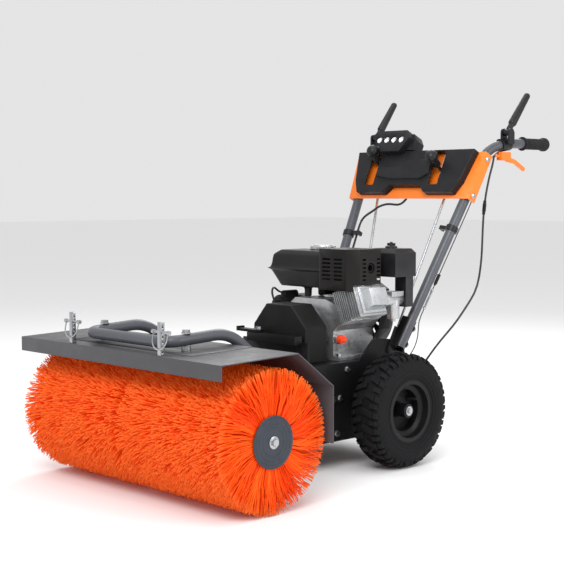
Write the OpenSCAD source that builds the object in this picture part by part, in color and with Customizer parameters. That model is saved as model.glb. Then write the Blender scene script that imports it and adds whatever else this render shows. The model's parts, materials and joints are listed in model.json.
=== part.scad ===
// Walk-behind power sweeper: a swivelling rotary brush head under a sheet hood, driven by a small
// petrol engine on a two-wheeled chassis, steered from two handle tubes with a control console.
// The brush is at the front (-Y), the operator walks behind (+Y), and +X is the operator's left.
// Every piece is drawn about the wheel axle and then moved so that the origin is the middle of
// the machine's footprint on the ground.

/* [Brush] */
// Length of the brush over its bristles
brush_w = 784; // [560:1:1200]
// Diameter over the bristle tips
brush_d = 350; // [300:1:420]
// Diameter of the tube that carries the bristles
core_d = 60; // [50:1:80]
// Width left free in the middle for the brush gearbox
brush_gap = 72; // [70:1:90]
// Diameter of the end discs
disc_d = 126; // [90:1:200]
// Thickness of the end discs
disc_t = 4; // [2:0.5:8]
// Diameter of the brush shaft
brush_shaft_d = 25; // [20:1:30]
// Distance from the wheel axle forward to the brush axis
wheelbase = 629; // [600:1:700]

/* [Hood] */
// Overall width of the hood
hood_w = 809; // [600:1:1240]
// Thickness of the hood sheet
hood_t = 2.5; // [1.5:0.5:4]
// Height of the hood's top plate over the bristle tips, at the front
hood_gap = 21; // [15:1:40]
// Height of the turned-down front lip
lip_h = 37; // [20:1:60]
// Distance from the brush axis forward to the front lip
hood_reach = 169; // [150:1:200]

/* [Wheels] */
// Overall diameter of the tyres
wheel_d = 316; // [290:1:330]
// Width of the tyres
tyre_w = 108; // [90:1:112]
// Width of the rims between their lips
rim_w = 84; // [70:1:88]
// Distance between the middles of the tyres
track = 469; // [460:1:520]
// Diameter of the half axles
axle_d = 20; // [16:1:24]

/* [Frame] */
// Width of the chassis over its side plates
frame_w = 280; // [270:1:300]
// Thickness of the chassis sheet
sheet = 4; // [3:0.5:6]
// Height of the engine deck
deck_z = 290; // [280:1:310]
// Diameter of the handle tubes and of the tube frame over the hood
tube_d = 29; // [25:1:32]
// Wall of those tubes
tube_wall = 2; // [1.5:0.5:3]

/* [Engine] */
// Height of the crankshaft over the engine deck
crank_h = 106; // [100:1:112]
// Angle of the cylinder over the horizontal
cyl_tilt = 20; // [10:1:25]
// Diameter of the crankshaft's output end
crank_d = 19; // [16:1:22]

/* [Fits] */
// Radial clearance of every shaft and pin that turns in its bore
run = 0.05; // [0.02:0.01:0.1]
// Gap between faces that rest on each other
seat = 0.3; // [0.1:0.05:0.5]

/* [Hidden] */
$fn = 64;

// Colours of the materials
col_grey = [0.36, 0.36, 0.38];
col_tube = [0.33, 0.35, 0.39];
col_black = [0.08, 0.08, 0.09];
col_orange = [1.0, 0.40, 0.08];
col_brush = [1.0, 0.27, 0.02];
col_zinc = [0.78, 0.80, 0.82];
col_alu = [0.66, 0.67, 0.68];
col_rubber = [0.07, 0.07, 0.08];

// Axes and heights that the pieces share
axle_z = wheel_d / 2;
brush_y = -wheelbase;
brush_z = brush_d / 2;
crank_z = deck_z + crank_h;
wheel_x = track / 2;
front_y = -235;
pivot_y = front_y - 55;
grip_end_y = 640;
shaft_z = brush_z + 45;
origin_y = ((brush_y - brush_d / 2) + grip_end_y) / 2;

module in_frame() {
  translate([0, -origin_y, 0]) children();
}
module both_sides() {
  children();
  mirror([1, 0, 0]) children();
}
// A round bar along X, Y or Z from one coordinate to another
module along_x(x0, x1, d) {
  translate([x0, 0, 0]) rotate([0, 90, 0]) cylinder(d = d, h = x1 - x0);
}
module along_y(y0, y1, d) {
  translate([0, y0, 0]) rotate([-90, 0, 0]) cylinder(d = d, h = y1 - y0);
}
module along_z(z0, z1, d) {
  translate([0, 0, z0]) cylinder(d = d, h = z1 - z0);
}
module box(x0, x1, y0, y1, z0, z1) {
  translate([x0, y0, z0]) cube([x1 - x0, y1 - y0, z1 - z0]);
}
// An outline in Y and Z drawn out along X
module profile_x(x0, x1) {
  translate([x0, 0, 0]) rotate([90, 0, 90]) linear_extrude(x1 - x0) children();
}
// An outline in X and Z drawn out along Y
module profile_y(y0, y1) {
  translate([0, y1, 0]) rotate([90, 0, 0]) linear_extrude(y1 - y0) children();
}

// A smooth round tube along a list of points
function unit(v) = v / norm(v);
function bezier(a, b, c, t) = (1 - t) * (1 - t) * a + 2 * t * (1 - t) * b + t * t * c;
// The points of a bent tube: each inner corner is rounded from a distance r before it to r after
function rounded(p, r, n = 6) = [
  p[0],
  for (i = [1 : len(p) - 2])
    for (k = [0 : n])
      let (a = p[i] + unit(p[i - 1] - p[i]) * min(r, norm(p[i - 1] - p[i]) * 0.48),
           c = p[i] + unit(p[i + 1] - p[i]) * min(r, norm(p[i + 1] - p[i]) * 0.48))
      bezier(a, p[i], c, k / n),
  p[len(p) - 1]
];
// The same path with both ends 1 mm further out
function run_out(p) = let (n = len(p) - 1) [
  p[0] + unit(p[0] - p[1]),
  for (i = [1 : n - 1]) p[i],
  p[n] + unit(p[n] - p[n - 1])
];
module tube_along(path, r, sides, ref) {
  last = len(path) - 1;
  ring = [
    for (i = [0 : last])
      let (t = unit(path[min(i + 1, last)] - path[max(i - 1, 0)]),
           n = unit(cross(ref, t)),
           b = cross(t, n))
      for (k = [0 : sides - 1])
        path[i] + r * (cos(360 * k / sides) * n + sin(360 * k / sides) * b)
  ];
  skin = [
    for (i = [0 : last - 1])
      for (k = [0 : sides - 1])
        let (m = (k + 1) % sides)
        [i * sides + m, i * sides + k, (i + 1) * sides + k, (i + 1) * sides + m]
  ];
  start = [for (k = [0 : sides - 1]) k];
  end = [for (k = [sides - 1 : -1 : 0]) last * sides + k];
  polyhedron(points = ring, faces = concat(skin, [start], [end]));
}

// ---------------------------------------------------------------- chassis

belt_slot = [85, front_y + 7, -150];
side_outline = [[front_y, 80], [150, 72], [150, 250], [120, 335], [14, 346], [-6, 344],
  [-62, deck_z], [front_y, deck_z]];
pan_z = 80;
rear_y = 150;
deck_rear = 140;

module main_frame() {
  color(col_black) in_frame() difference() {
    union() {
      both_sides() profile_x(frame_w / 2 - sheet, frame_w / 2) polygon(side_outline);
      box(-frame_w / 2, frame_w / 2, front_y, deck_rear, deck_z - sheet, deck_z);
      box(-frame_w / 2, frame_w / 2, front_y, rear_y, pan_z - sheet, pan_z);
      box(-frame_w / 2, frame_w / 2, front_y, front_y + sheet, pan_z - sheet, deck_z);
      box(-frame_w / 2, frame_w / 2, rear_y - sheet, rear_y, pan_z - sheet, 250);
    }
    // Opening for the belts, the axle holes, the drive shaft and the two shift rods
    box(-belt_slot[0], belt_slot[0], belt_slot[1], belt_slot[2], deck_z - 10, deck_z + 10);
    translate([0, 0, axle_z]) along_x(-frame_w, frame_w, axle_d + 10);
    translate([0, 0, shaft_z]) along_y(front_y - 5, front_y + 10, axle_d + 10);
    translate([rod_foot(rod_r)[0], rod_foot(rod_r)[1], 0]) along_z(deck_z - 20, deck_z + 20, 20);
    translate([rod_foot(rod_l)[0], rod_foot(rod_l)[1], 0]) along_z(deck_z - 20, deck_z + 20, 22);
  }
}

bearing_d = 56;
bearing_w = 13;
module flange_bearing(bore) {
  difference() {
    along_x(0, bearing_w, bearing_d);
    along_x(-1, bearing_w + 1, bore + 2 * run);
  }
}
module bearings() {
  color(col_zinc) in_frame() {
    both_sides() translate([frame_w / 2 + seat, 0, axle_z]) flange_bearing(axle_d);
    translate([0, front_y + sheet + seat, shaft_z]) rotate([0, 0, 90]) flange_bearing(axle_d);
  }
}

cover_rear = -150;
function cover_outline(inset) = [[-103 + inset, deck_z + seat], [103 - inset, deck_z + seat],
  [103 - inset, 389 - inset / 2], [46 - inset / 2, 448 - inset], [-52 + inset / 2, 448 - inset],
  [-103 + inset, 389 - inset / 2]];
module belt_cover() {
  wall = 2.5;
  color(col_black) in_frame() difference() {
    profile_y(front_y, cover_rear) polygon(cover_outline(0));
    profile_y(front_y + wall, cover_rear + 1) polygon(cover_outline(wall));
    box(-103 + wall, 103 - wall, front_y + wall, cover_rear + 1, deck_z - 5, deck_z + 5);
  }
}

// The joint between chassis and brush head: two lugs with pins, and the latch bar on top
lug_t = 9.6;
lug_gap = 0.4;
neck_t = 8;
neck_z = [shaft_z - 38, shaft_z + 30];
pin_d = 20;
bar_z = [345, 368];
module swivel_bracket() {
  plate = [front_y - 8, front_y - seat];
  lug_r = 32;
  color(col_black) in_frame() {
    difference() {
      union() {
        box(-137, 120, plate[0], plate[1], 160, 350);
        box(-92, 98, plate[0] - 27, plate[0] + 0.01, bar_z[0], bar_z[1]);
        for (z = [neck_z[0] - lug_t - lug_gap, neck_z[1] + neck_t + lug_gap]) {
          box(-lug_r, lug_r, pivot_y, plate[0] + 0.01, z, z + lug_t);
          translate([0, pivot_y, 0]) along_z(z, z + lug_t, 2 * lug_r);
        }
        translate([0, pivot_y, 0]) along_z(neck_z[0] - lug_t, neck_z[0] + neck_t + 3, pin_d);
        translate([0, pivot_y, 0]) along_z(neck_z[1] - 3, neck_z[1] + neck_t + lug_t, pin_d);
      }
      translate([0, 0, shaft_z]) along_y(plate[0] - 1, plate[1] + 1, 2 * (axle_d / 2 + 6));
      translate([latch_pos[0], latch_pos[1], 0]) along_z(bar_z[0] + 5, bar_z[1] + 1, latch_pin_d);
    }
  }
}

latch_pos = [-58, front_y - 22];
latch_pin_d = 8;
latch_t = 8;
module latch_lever() {
  z0 = bar_z[1] + seat;
  color(col_black) in_frame() difference() {
    union() {
      translate([latch_pos[0], latch_pos[1], 0]) along_z(z0, z0 + latch_t, 24);
      box(-137, latch_pos[0], latch_pos[1] - 12, latch_pos[1] + 12, z0, z0 + latch_t);
      box(-137, -128, latch_pos[1] - 12, latch_pos[1] + 12, z0 + latch_t - 0.01, z0 + latch_t + 5);
    }
    translate([latch_pos[0], latch_pos[1], 0]) along_z(z0 - 1, z0 + 20, latch_pin_d + 2 * run);
  }
}

// A zinc hex bolt head on its washer, standing on a face and pointing along +Z
module bolt_head(d = 8) {
  cylinder(d = 2.4 * d, h = 2);
  translate([0, 0, 1.99]) cylinder(d = 1.9 * d, h = 0.65 * d, $fn = 6);
}
side_bolts = [[-165, 192], [-138, 194], [-150, 98], [-110, 270]];
module frame_bolts() {
  color(col_zinc) in_frame() {
    both_sides() for (p = side_bolts)
      translate([frame_w / 2 + seat / 3, p[0], p[1]]) rotate([0, 90, 0]) bolt_head(8);
    // The latch lever's bolt, with its shank down into the bar
    translate([latch_pos[0], latch_pos[1], bar_z[1] + 2 * seat + latch_t]) {
      bolt_head(9);
      translate([0, 0, -latch_t - 15]) cylinder(d = latch_pin_d - 0.02, h = latch_t + 16);
    }
    // The handle bracket's bolts
    both_sides() handle_place() for (v = [16, 66])
      translate([0, bracket_gap / 2 + bracket_t + seat / 3, v]) rotate([-90, 0, 0]) bolt_head(8);
    // The console's button heads
    both_sides() console_place() for (v = console_bolts)
      translate([console_side(v + 8) + seat / 3, 18, v]) rotate([0, 90, 0])
        cylinder(d1 = 16, d2 = 10, h = 5);
    // The engine's four foot bolts
    for (x = [-108, 101]) for (y = [-100, 38])
      translate([x, y, foot_z + seat / 3]) bolt_head(8);
  }
}

// ---------------------------------------------------------------- handles and console

handle_foot = [160, 85, 318];
handle_knee = [209.5, 314.5, 734];
handle_top = [228, 396, 884];
grip_start = [250, 470, 901];
grip_dir = unit([15, 163, 0]);
grip_len = 112;
grip_r = 17;
handle_dir = unit(handle_knee - handle_foot);
handle_lean = atan2(handle_dir[1], handle_dir[2]);
handle_splay = asin(handle_dir[0]);
handle_path = rounded([handle_foot, handle_knee, handle_top, grip_start,
  grip_start + grip_dir * (grip_end_y - 4 - grip_start[1]) / grip_dir[1]], 42);
bracket_gap = tube_d + 1;
bracket_t = 4;

// Local +Z runs up the left handle tube from its foot
module handle_place() {
  translate(handle_foot) rotate([-handle_lean, 0, 0]) rotate([0, handle_splay, 0]) children();
}
module handle_tubes() {
  color(col_tube) in_frame() both_sides() difference() {
    tube_along(handle_path, tube_d / 2, 20, [1, 0, 0]);
    tube_along(run_out(handle_path), tube_d / 2 - tube_wall, 20, [1, 0, 0]);
  }
}
module handle_brackets() {
  color(col_black) in_frame() both_sides() {
    difference() {
      union() {
        handle_place() {
          for (s = [-1, 1])
            translate([-7, s * (bracket_gap + bracket_t) / 2, 40])
              cube([25, bracket_t, 96], center = true);
        }
        translate([frame_w / 2 + seat + 2, 0, 0])
          handle_place_flat() cube([4, bracket_gap + 2 * bracket_t + 16, 80], center = true);
      }
      box(0, frame_w / 2 + seat, -300, 300, 0, 500);
    }
  }
}
// The bracket's foot lies flat on the chassis side plate, in line with the tube
module handle_place_flat() {
  translate([0, handle_foot[1], handle_foot[2]]) rotate([-handle_lean, 0, 0])
    translate([0, 0, 12]) children();
}

module grip_place() {
  p = grip_start + grip_dir * ((grip_end_y - grip_len - grip_start[1]) / grip_dir[1]);
  translate(p) rotate([-90, 0, -atan2(grip_dir[0], grip_dir[1])]) children();
}
module grips() {
  color(col_rubber) in_frame() both_sides() grip_place() rotate_extrude() polygon([
    [tube_d / 2 + 0.15, 0], [grip_r + 4, 0], [grip_r + 4, 5], [grip_r, 8], [grip_r, grip_len - 22],
    [grip_r + 4, grip_len - 16], [grip_r + 4, grip_len - 6], [grip_r, grip_len - 1], [0, grip_len - 1],
    [0, grip_len - 3], [tube_d / 2 + 0.15, grip_len - 3]]);
}

clutch_pivot = [258, 452, 932];
clutch_tilt = 51;
clutch_len = 144;
clutch_pin_d = 8;
// The clamp sits where the tube bends into the grip and follows it there
clamp_at = [244.1, 452, 896.3];
clamp_yaw = 13.8;
clamp_pitch = 9.5;
module lever_clamps() {
  color(col_rubber) in_frame() both_sides() difference() {
    union() {
      translate(clamp_at) rotate([clamp_pitch - 90, 0, -clamp_yaw])
        translate([0, 0, -14]) cylinder(d = tube_d + 10, h = 34);
      for (s = [-1, 1])
        box(clutch_pivot[0] + s * 13 - 3, clutch_pivot[0] + s * 13 + 3, 440, 466, 898, 934);
      for (s = [-1, 1]) translate([clutch_pivot[0] + s * 13, 452, 932]) along_x(-3, 3, 24);
      translate(clutch_pivot) along_x(-13, 13, clutch_pin_d);
    }
    tube_along(handle_path, tube_d / 2 + 0.4, 20, [1, 0, 0]);
  }
}
sleeve_start = 38;
sleeve_d = [25, 20];
module clutch_lever() {
  color(col_rubber) in_frame() difference() {
    union() {
      translate(clutch_pivot) along_x(-9, 9, 20);
      hull() {
        translate(clutch_pivot) rotate([clutch_tilt, 0, 0]) translate([0, 14, 0])
          sphere(d = 17, $fn = 24);
        translate(clutch_pivot) rotate([clutch_tilt, 0, 0]) translate([1, sleeve_start, 0])
          sphere(d = 17, $fn = 24);
      }
      // Tapered rubber sleeve
      hull() {
        translate(clutch_pivot) rotate([clutch_tilt, 0, 0]) translate([1, sleeve_start, 0])
          sphere(d = sleeve_d[0], $fn = 24);
        translate(clutch_pivot) rotate([clutch_tilt, 0, 0]) translate([4, clutch_len - 2, 0])
          sphere(d = sleeve_d[1], $fn = 24);
      }
    }
    translate(clutch_pivot) along_x(-20, 20, clutch_pin_d + 2 * run);
  }
}
module clutch_lever_left() {
  clutch_lever();
}
module clutch_lever_right() {
  mirror([1, 0, 0]) clutch_lever();
}

// Local X is across, local -Y points out of the console's face and local Z runs up the face
console_foot = [0, 297, 738];
console_tilt = 25;
console_h = 150;
console_low = 234;
console_high = 250;
slot_x = [-145, 108];
slot_v = [38, 143];
lever_v = 70;
lever_back = 70;
console_bolts = [16, 133];
upper_dir = unit(handle_top - handle_knee);
upper_lean = atan2(upper_dir[1], upper_dir[2]);
upper_splay = asin(upper_dir[0]);
// The point of the upper tube at about the height of a point on the console
function tube_point(v) = handle_knee + upper_dir * (console_foot[2] + v * cos(console_tilt)
  - handle_knee[2]) / upper_dir[2];
function console_side(v) = console_low + (console_high - console_low) * v / console_h;
function console_point(v, out) = [0,
  console_foot[1] + v * sin(console_tilt) - out * cos(console_tilt),
  console_foot[2] + v * cos(console_tilt) + out * sin(console_tilt)];
module console_place() {
  translate(console_foot) rotate([-console_tilt, 0, 0]) children();
}
module console_panel(t, inset = 0) {
  rotate([90, 0, 0]) linear_extrude(t) polygon([
    [-console_low + inset, inset], [console_low - inset, inset],
    [console_high - inset, console_h - inset], [-console_high + inset, console_h - inset]]);
}
flange_d = 34;
module console_bracket() {
  color(col_orange) in_frame() console_place() difference() {
    union() {
      translate([0, 2.5, 0]) console_panel(2.5);
      // Side flanges around the outside of the tubes
      both_sides() difference() {
        translate([0, flange_d, 0]) console_panel(flange_d);
        translate([-300, -1, -1]) cube([300 + console_low - 40, flange_d + 2, console_h + 2]);
        translate([0, flange_d + 1, 0]) rotate([90, 0, 0]) linear_extrude(flange_d + 2)
          polygon([[0, -1], [console_low, -1], [console_high, console_h + 1], [0, console_h + 1]]
            - [for (i = [0 : 3]) [3, 0]]);
      }
      // Bosses that reach from the flanges to the tubes
      both_sides() for (v = console_bolts) translate([console_side(v) - 10, 18, v]) along_x(0, 9, 16);
      // One ear beside each shift lever, with the lever's pin
      for (i = [0, 1]) ear(i);
    }
    for (x = slot_x) translate([x - 8, -1, slot_v[0]]) cube([16, 5, slot_v[1] - slot_v[0]]);
    both_sides() for (v = console_bolts) tube_clearance(v);
  }
}
// A straight stand-in for the tube beside a console bolt, to shape the boss to it
module tube_clearance(v) {
  rotate([console_tilt, 0, 0]) translate(-console_foot) translate(tube_point(v - 30))
    rotate([-upper_lean, 0, 0]) rotate([0, upper_splay, 0]) cylinder(d = tube_d + 2 * seat, h = 60);
}
module ear(i) {
  side = i == 0 ? 1 : -1;
  translate([slot_x[i], 0, 0]) {
    translate([side * 12.5 - 1.5, 2.9, lever_v - 12]) cube([3, lever_back - 2.9, 24]);
    translate([side * 12.5, lever_back, lever_v]) along_x(-1.5, 1.5, 24);
    translate([0, lever_back, lever_v]) along_x(-12, 12, shift_pin_d);
  }
}

shift_pin_d = 10;
shift_tilt = [29, 15];
shift_len = 138;
knob_d = 40;
arm_t = 4;
shift_pivot = console_point(lever_v, -lever_back);

// Each shift rod: the point beside its lever's arm, and a point lower down on its line
rod_d = 8;
rod_side = [-16.6, 14];
arm_side = [-9.5, 5.5];
hub_w = 10;
stem_r = 5;
collar_r = 12;
collar_h = 36;
// Where the ball of the knob leaves its collar
knob_a = -acos(2 * collar_r / knob_d);
function foot_of(p, a, d) = a + d * ((p - a) * d);
rod_r = [[slot_x[1] + rod_side[1], 330, 735], [slot_x[1] + 6.5, 112, 333]];
rod_l = [[slot_x[0] + rod_side[0], 330, 718], [-60, 150, 333]];
function flat_dir(rod) = unit([0, rod[0][1] - rod[1][1], rod[0][2] - rod[1][2]]);
function rod_tip(rod) = let (d = flat_dir(rod), a = [0, rod[0][1], rod[0][2]])
  foot_of([0, shift_pivot[1], shift_pivot[2]], a, d);
function rod_arm(rod) = norm(rod_tip(rod) - [0, shift_pivot[1], shift_pivot[2]]);
function rod_foot(rod) = let (k = (deck_z - rod[1][2]) / (rod[0][2] - rod[1][2]))
  rod[1] + (rod[0] - rod[1]) * k;

module shift_lever(i, rod) {
  p = [slot_x[i], shift_pivot[1], shift_pivot[2]];
  tip = rod_tip(rod);
  arm_angle = atan2(tip[2] - p[2], tip[1] - p[1]);
  color(col_black) in_frame() translate(p) difference() {
    union() {
      along_x(-hub_w, hub_w, 22);
      rotate([90 - console_tilt - shift_tilt[i], 0, 0]) rotate_extrude() polygon(concat(
        [[0, 0], [stem_r, 0], [stem_r, shift_len - collar_h], [collar_r, shift_len - collar_h]],
        [for (k = [0 : 15]) let (a = knob_a + (90 - knob_a) * k / 16)
          [knob_d / 2 * cos(a), shift_len + knob_d / 2 * sin(a)]],
        [[0, shift_len + knob_d / 2]]));
      rotate([arm_angle, 0, 0]) translate([arm_side[i], 0, -10]) cube([arm_t, rod_arm(rod) + 14, 20]);
    }
    along_x(-20, 20, shift_pin_d + 2 * run);
    // Slot for the rod's pin
    rotate([arm_angle, 0, 0]) translate([-10, rod_arm(rod) - 9, -5]) cube([20, 16, 10]);
  }
}
module shift_lever_left() {
  shift_lever(1, rod_r);
}
module shift_lever_right() {
  shift_lever(0, rod_l);
}
module shift_rod(i, rod) {
  tip = rod_tip(rod) + [rod[0][0], 0, 0];
  low = rod_foot(rod);
  foot = low - unit(tip - low) * 28;
  color(col_zinc) in_frame() {
    translate(foot) rotate([0, acos(unit(tip - foot)[2]), atan2(tip[1] - foot[1], tip[0] - foot[0])])
      cylinder(d = rod_d, h = norm(tip - foot) + 6);
    translate([slot_x[i], tip[1], tip[2]])
      along_x(min(arm_side[i], rod_side[i]), max(arm_side[i] + arm_t, rod_side[i]), 6);
  }
}
module shift_rod_left() {
  shift_rod(1, rod_r);
}
module shift_rod_right() {
  shift_rod(0, rod_l);
}

cover_depth = 26;
module console_outline(inset) {
  polygon([[-228 + inset, 148 - inset], [-206 + inset, 50], [-186 + inset / 2, 10 + inset],
    [-80, 10 + inset], [-58, 34 + inset], [58, 34 + inset], [80, 10 + inset],
    [186 - inset / 2, 10 + inset], [206 - inset, 50], [228 - inset, 148 - inset]]);
}
module console_cover() {
  color(col_black) in_frame() console_place() difference() {
    union() {
      translate([0, -seat, 0]) rotate([90, 0, 0]) linear_extrude(cover_depth) console_outline(0);
      translate([0, -cover_depth, 0]) rotate([90, 0, 0]) linear_extrude(10)
        polygon([[-122, 62], [-100, 90], [-30, 92], [-8, 112], [88, 112], [88, 66], [60, 50], [-60, 50]]);
    }
    translate([0, 1, 0]) rotate([90, 0, 0]) linear_extrude(cover_depth - 2) console_outline(3);
    for (x = slot_x) translate([x - 17, -60, slot_v[0] - 3])
      cube([34, 61, slot_v[1] - slot_v[0] + 3]);
  }
}

light_x = -90;
led_pitch = 29;
light_out = 50;
module headlight() {
  front = [[-74, 190], [-60, 206], [60, 206], [76, 182], [50, 136], [-22, 136]];
  rear = [[-60, 150.3], [-60, 204], [70, 204], [86, 182], [86, 150.3]];
  color(col_black) in_frame() console_place() difference() {
    union() {
      translate([light_x, -cover_depth - 2 * seat, 0]) rotate([90, 0, 0])
        linear_extrude(light_out - cover_depth) polygon(front);
      translate([light_x, 12, 0]) rotate([90, 0, 0])
        linear_extrude(12 + cover_depth + 3 * seat) polygon(rear);
    }
    for (i = [0 : 3]) translate([light_x + (i - 1.5) * led_pitch, 0, 176])
      along_y(-light_out - 5, -light_out + 12, 22);
  }
}
module headlight_leds() {
  color([0.95, 0.95, 0.9]) in_frame() console_place()
    for (i = [0 : 3]) translate([light_x + (i - 1.5) * led_pitch, 0, 176])
      along_y(-light_out + 2, -light_out + 11.7, 21.6);
}

clip_at = [372, 348];
module cable_clips() {
  color(col_rubber) in_frame() {
    handle_place() clip(clip_at[0]);
    mirror([1, 0, 0]) handle_place() clip(clip_at[1]);
  }
}
module clip(v) {
  translate([0, 0, v]) difference() {
    union() {
      cylinder(d = tube_d + 7, h = 16);
      translate([-38, -5, 2]) cube([24, 8, 12]);
      translate([-44, -5, 2]) cube([8, 18, 12]);
    }
    translate([0, 0, -1]) cylinder(d = tube_d + 0.6, h = 20);
  }
}

trigger_box = [241, 259, 424, 470, 850, 874.3];
trigger_pivot = [250, 462, 861];
trigger_pin_d = 6;
module trigger_bracket() {
  b = trigger_box;
  color(col_orange) in_frame() {
    difference() {
      union() {
        box(b[0], b[1], b[2], b[3], b[4], b[5]);
        translate([trigger_pivot[0], 0, 862]) along_y(b[2] - 22, b[2] + 1, 8);
      }
      box(b[0] + 3, b[1] - 3, b[2] + 4, b[3] + 1, b[4] - 1, b[5] - 3);
      translate([trigger_pivot[0], 0, 862]) along_y(b[2] - 40, b[2] + 10, 5);
    }
    translate(trigger_pivot) along_x(-8.9, 8.9, trigger_pin_d);
  }
}
module trigger() {
  color(col_orange) in_frame() difference() {
    profile_x(trigger_pivot[0] - 4, trigger_pivot[0] + 4) polygon([
      [455, 867], [469, 867], [476, 859], [502, 852], [550, 829], [545, 819], [498, 841],
      [462, 846], [451, 854]]);
    translate(trigger_pivot) along_x(-10, 10, trigger_pin_d + 2 * run);
  }
}

// A point beside the left handle tube: across, behind and along it from its foot
function handle_point(x, y, v) = let (a = x * cos(handle_splay) + v * sin(handle_splay),
    c = v * cos(handle_splay) - x * sin(handle_splay))
  handle_foot + [a, y * cos(handle_lean) + c * sin(handle_lean),
    c * cos(handle_lean) - y * sin(handle_lean)];
function mirrored(p) = [-p[0], p[1], p[2]];

// Control cables and wiring, held at both ends
trigger_cable = [[250, 401.7, 862], [250, 398.4, 861.6], [249.5, 397, 850], [247, 394, 830],
  [243, 386, 800], [240, 372, 740],
  [238, 366, 680], [238, 360, 552], [232, 348, 470], [222, 262, 378], [196, 210, 318],
  [150, 185, 240], [112, 172, 206], [100, 160, 205], [100, 150.4, 205]];
clutch_wire = [[253.9, 436.7, 882.9], [250, 420, 876], [240, 398, 856], [236, 386, 840], [230, 360, 790],
  handle_point(14, 15, 452), handle_point(14, 15, 372), handle_point(14, 15, 200),
  handle_point(14, 15, 90), [175, 150, 345], [166, 146, 312], [154, 134, 284], [140.5, 134, 280]];
harness = [[-5, 305.8, 748], [-12, 318, 738], [-40, 316, 716], [-79, 308, 722], [-115, 306, 714],
  [-137, 300, 698], [-154, 285, 684], mirrored(handle_point(-28, 7, 400)),
  mirrored(handle_point(-28, 7, 348)), mirrored(handle_point(-28, 7, 296)), [-150, 190, 520],
  [-138, 150, 460], [-140, 60, 432], [-134, 14, 430], [-133, 0.4, 430]];
starter_lead = [[-129, -95.3, 467], [-131, -110, 470], [-134, -128, 486], [-131, -138, 470],
  [-125, -134, 446], [-124, -128, 443], [-124, -118.4, 443]];
module cables() {
  color(col_rubber) in_frame() {
    tube_along(rounded(trigger_cable, 40, 3), 3, 8, [1, 0, 0]);
    tube_along(rounded(harness, 30, 3), 3.5, 8, [0.2, 0.1, 1]);
    tube_along(rounded(starter_lead, 12, 3), 3, 8, [0, 1, 0.2]);
  }
  color(col_zinc) in_frame() both_sides()
    tube_along(rounded(clutch_wire, 20, 2), 1.5, 8, [1, 0, 0]);
}

// ---------------------------------------------------------------- engine

foot_z = deck_z + 12;
case_y = [-112, 50];
head_y = -60;
starter_d = 62;
starter_x = -95 - starter_d / 2 - seat;
oil_pos = [-98, 349];
module cylinder_place() {
  translate([0, head_y, crank_z]) rotate([0, -cyl_tilt, 0]) children();
}
module crankcase() {
  outline = [[-120, deck_z + seat], [112, deck_z + seat], [112, foot_z], [90, foot_z], [90, 372],
    [126, 408], [118, 438], [60, 458], [-60, 458], [-95, 430], [-95, foot_z], [-120, foot_z]];
  color(col_alu) in_frame() difference() {
    union() {
      profile_y(case_y[0], case_y[1]) polygon(outline);
      cylinder_place() {
        along_x(60, 160, 92);
        for (i = [0 : 6]) translate([112 + 7 * i, -56, -46]) cube([3, 112, 92]);
      }
      translate([0, oil_pos[0], oil_pos[1]]) along_x(80, 100, 28);
      translate([0, 0, crank_z]) along_y(case_y[0] - 8, case_y[0] + 1, 70);
    }
    // Crank chamber, cylinder bore and crankshaft bores
    box(-75, 75, case_y[0] + 14, case_y[1] - 12, deck_z + 26, 440);
    cylinder_place() along_x(50, 161, 68);
    translate([0, 0, crank_z]) along_y(case_y[0] - 10, case_y[1] + 10, crank_d + 2 * run);
  }
}
module cylinder_head() {
  color(col_alu) in_frame() difference() {
    union() {
      cylinder_place() {
        translate([160 + seat, -48, -38]) cube([34, 96, 76]);
        for (i = [0 : 3]) translate([163 + 8 * i, -54, -44]) cube([3, 108, 88]);
      }
      // Exhaust port on top, inlet port at the back
      translate([port[0], port[1], 0]) along_z(472, muffler_z[0] - seat, 26);
      translate([inlet[0], 0, inlet[1]]) along_y(-13.5, 2, 34);
    }
    translate([inlet[0], 0, inlet[1]]) along_y(-12, 3, 20);
  }
}
port = [155, -72];
inlet = [168, 455];
module valve_cover() {
  color(col_alu) in_frame() cylinder_place() {
    translate([194 + 2 * seat, -46, -37]) cube([4, 92, 74]);
    hull() {
      translate([198, -40, -31]) cube([1, 80, 62]);
      translate([226, -33, -24]) cube([1, 66, 48]);
    }
  }
}

guard = [52, 180, -130, -18, 486, 600];
guard_chamfer = 26;
muffler_z = [508, 586];
outlet = [-58, 548];
module guard_outline(inset) {
  polygon([[guard[0] + inset, guard[2] + inset], [guard[1] - guard_chamfer - inset / 2, guard[2] + inset],
    [guard[1] - inset, guard[2] + guard_chamfer + inset / 2], [guard[1] - inset, guard[3] + 1],
    [guard[0] + inset, guard[3] + 1]]);
}
module muffler_guard() {
  wall = 2;
  color(col_black) in_frame() difference() {
    intersection() {
      translate([0, 0, guard[4]]) linear_extrude(guard[5] - guard[4]) guard_outline(0);
      box(guard[0], guard[1], guard[2], guard[3], guard[4], guard[5]);
    }
    translate([0, 0, guard[4] - 1]) linear_extrude(guard[5] - guard[4] + 1 - wall) guard_outline(wall);
    // Louvres in the front and in the side, and the exhaust outlet
    for (i = [0 : 5]) for (x = [guard[0] + 12, guard[0] + 56])
      box(x, x + 30, guard[2] - 1, guard[2] + 5, 514 + 11 * i, 519 + 11 * i);
    for (i = [0 : 5]) for (y = [guard[2] + 38, guard[3] - 16])
      box(guard[1] - 5, guard[1] + 1, y, y + 14, 514 + 11 * i, 519 + 11 * i);
    translate([0, outlet[0], outlet[1]]) along_x(guard[1] - 5, guard[1] + 1, 30);
    // Clearance over the valve cover
    box(150, guard[1] + 1, head_y - 56, guard[3] + 2, guard[4] - 1, 503);
  }
}
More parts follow.
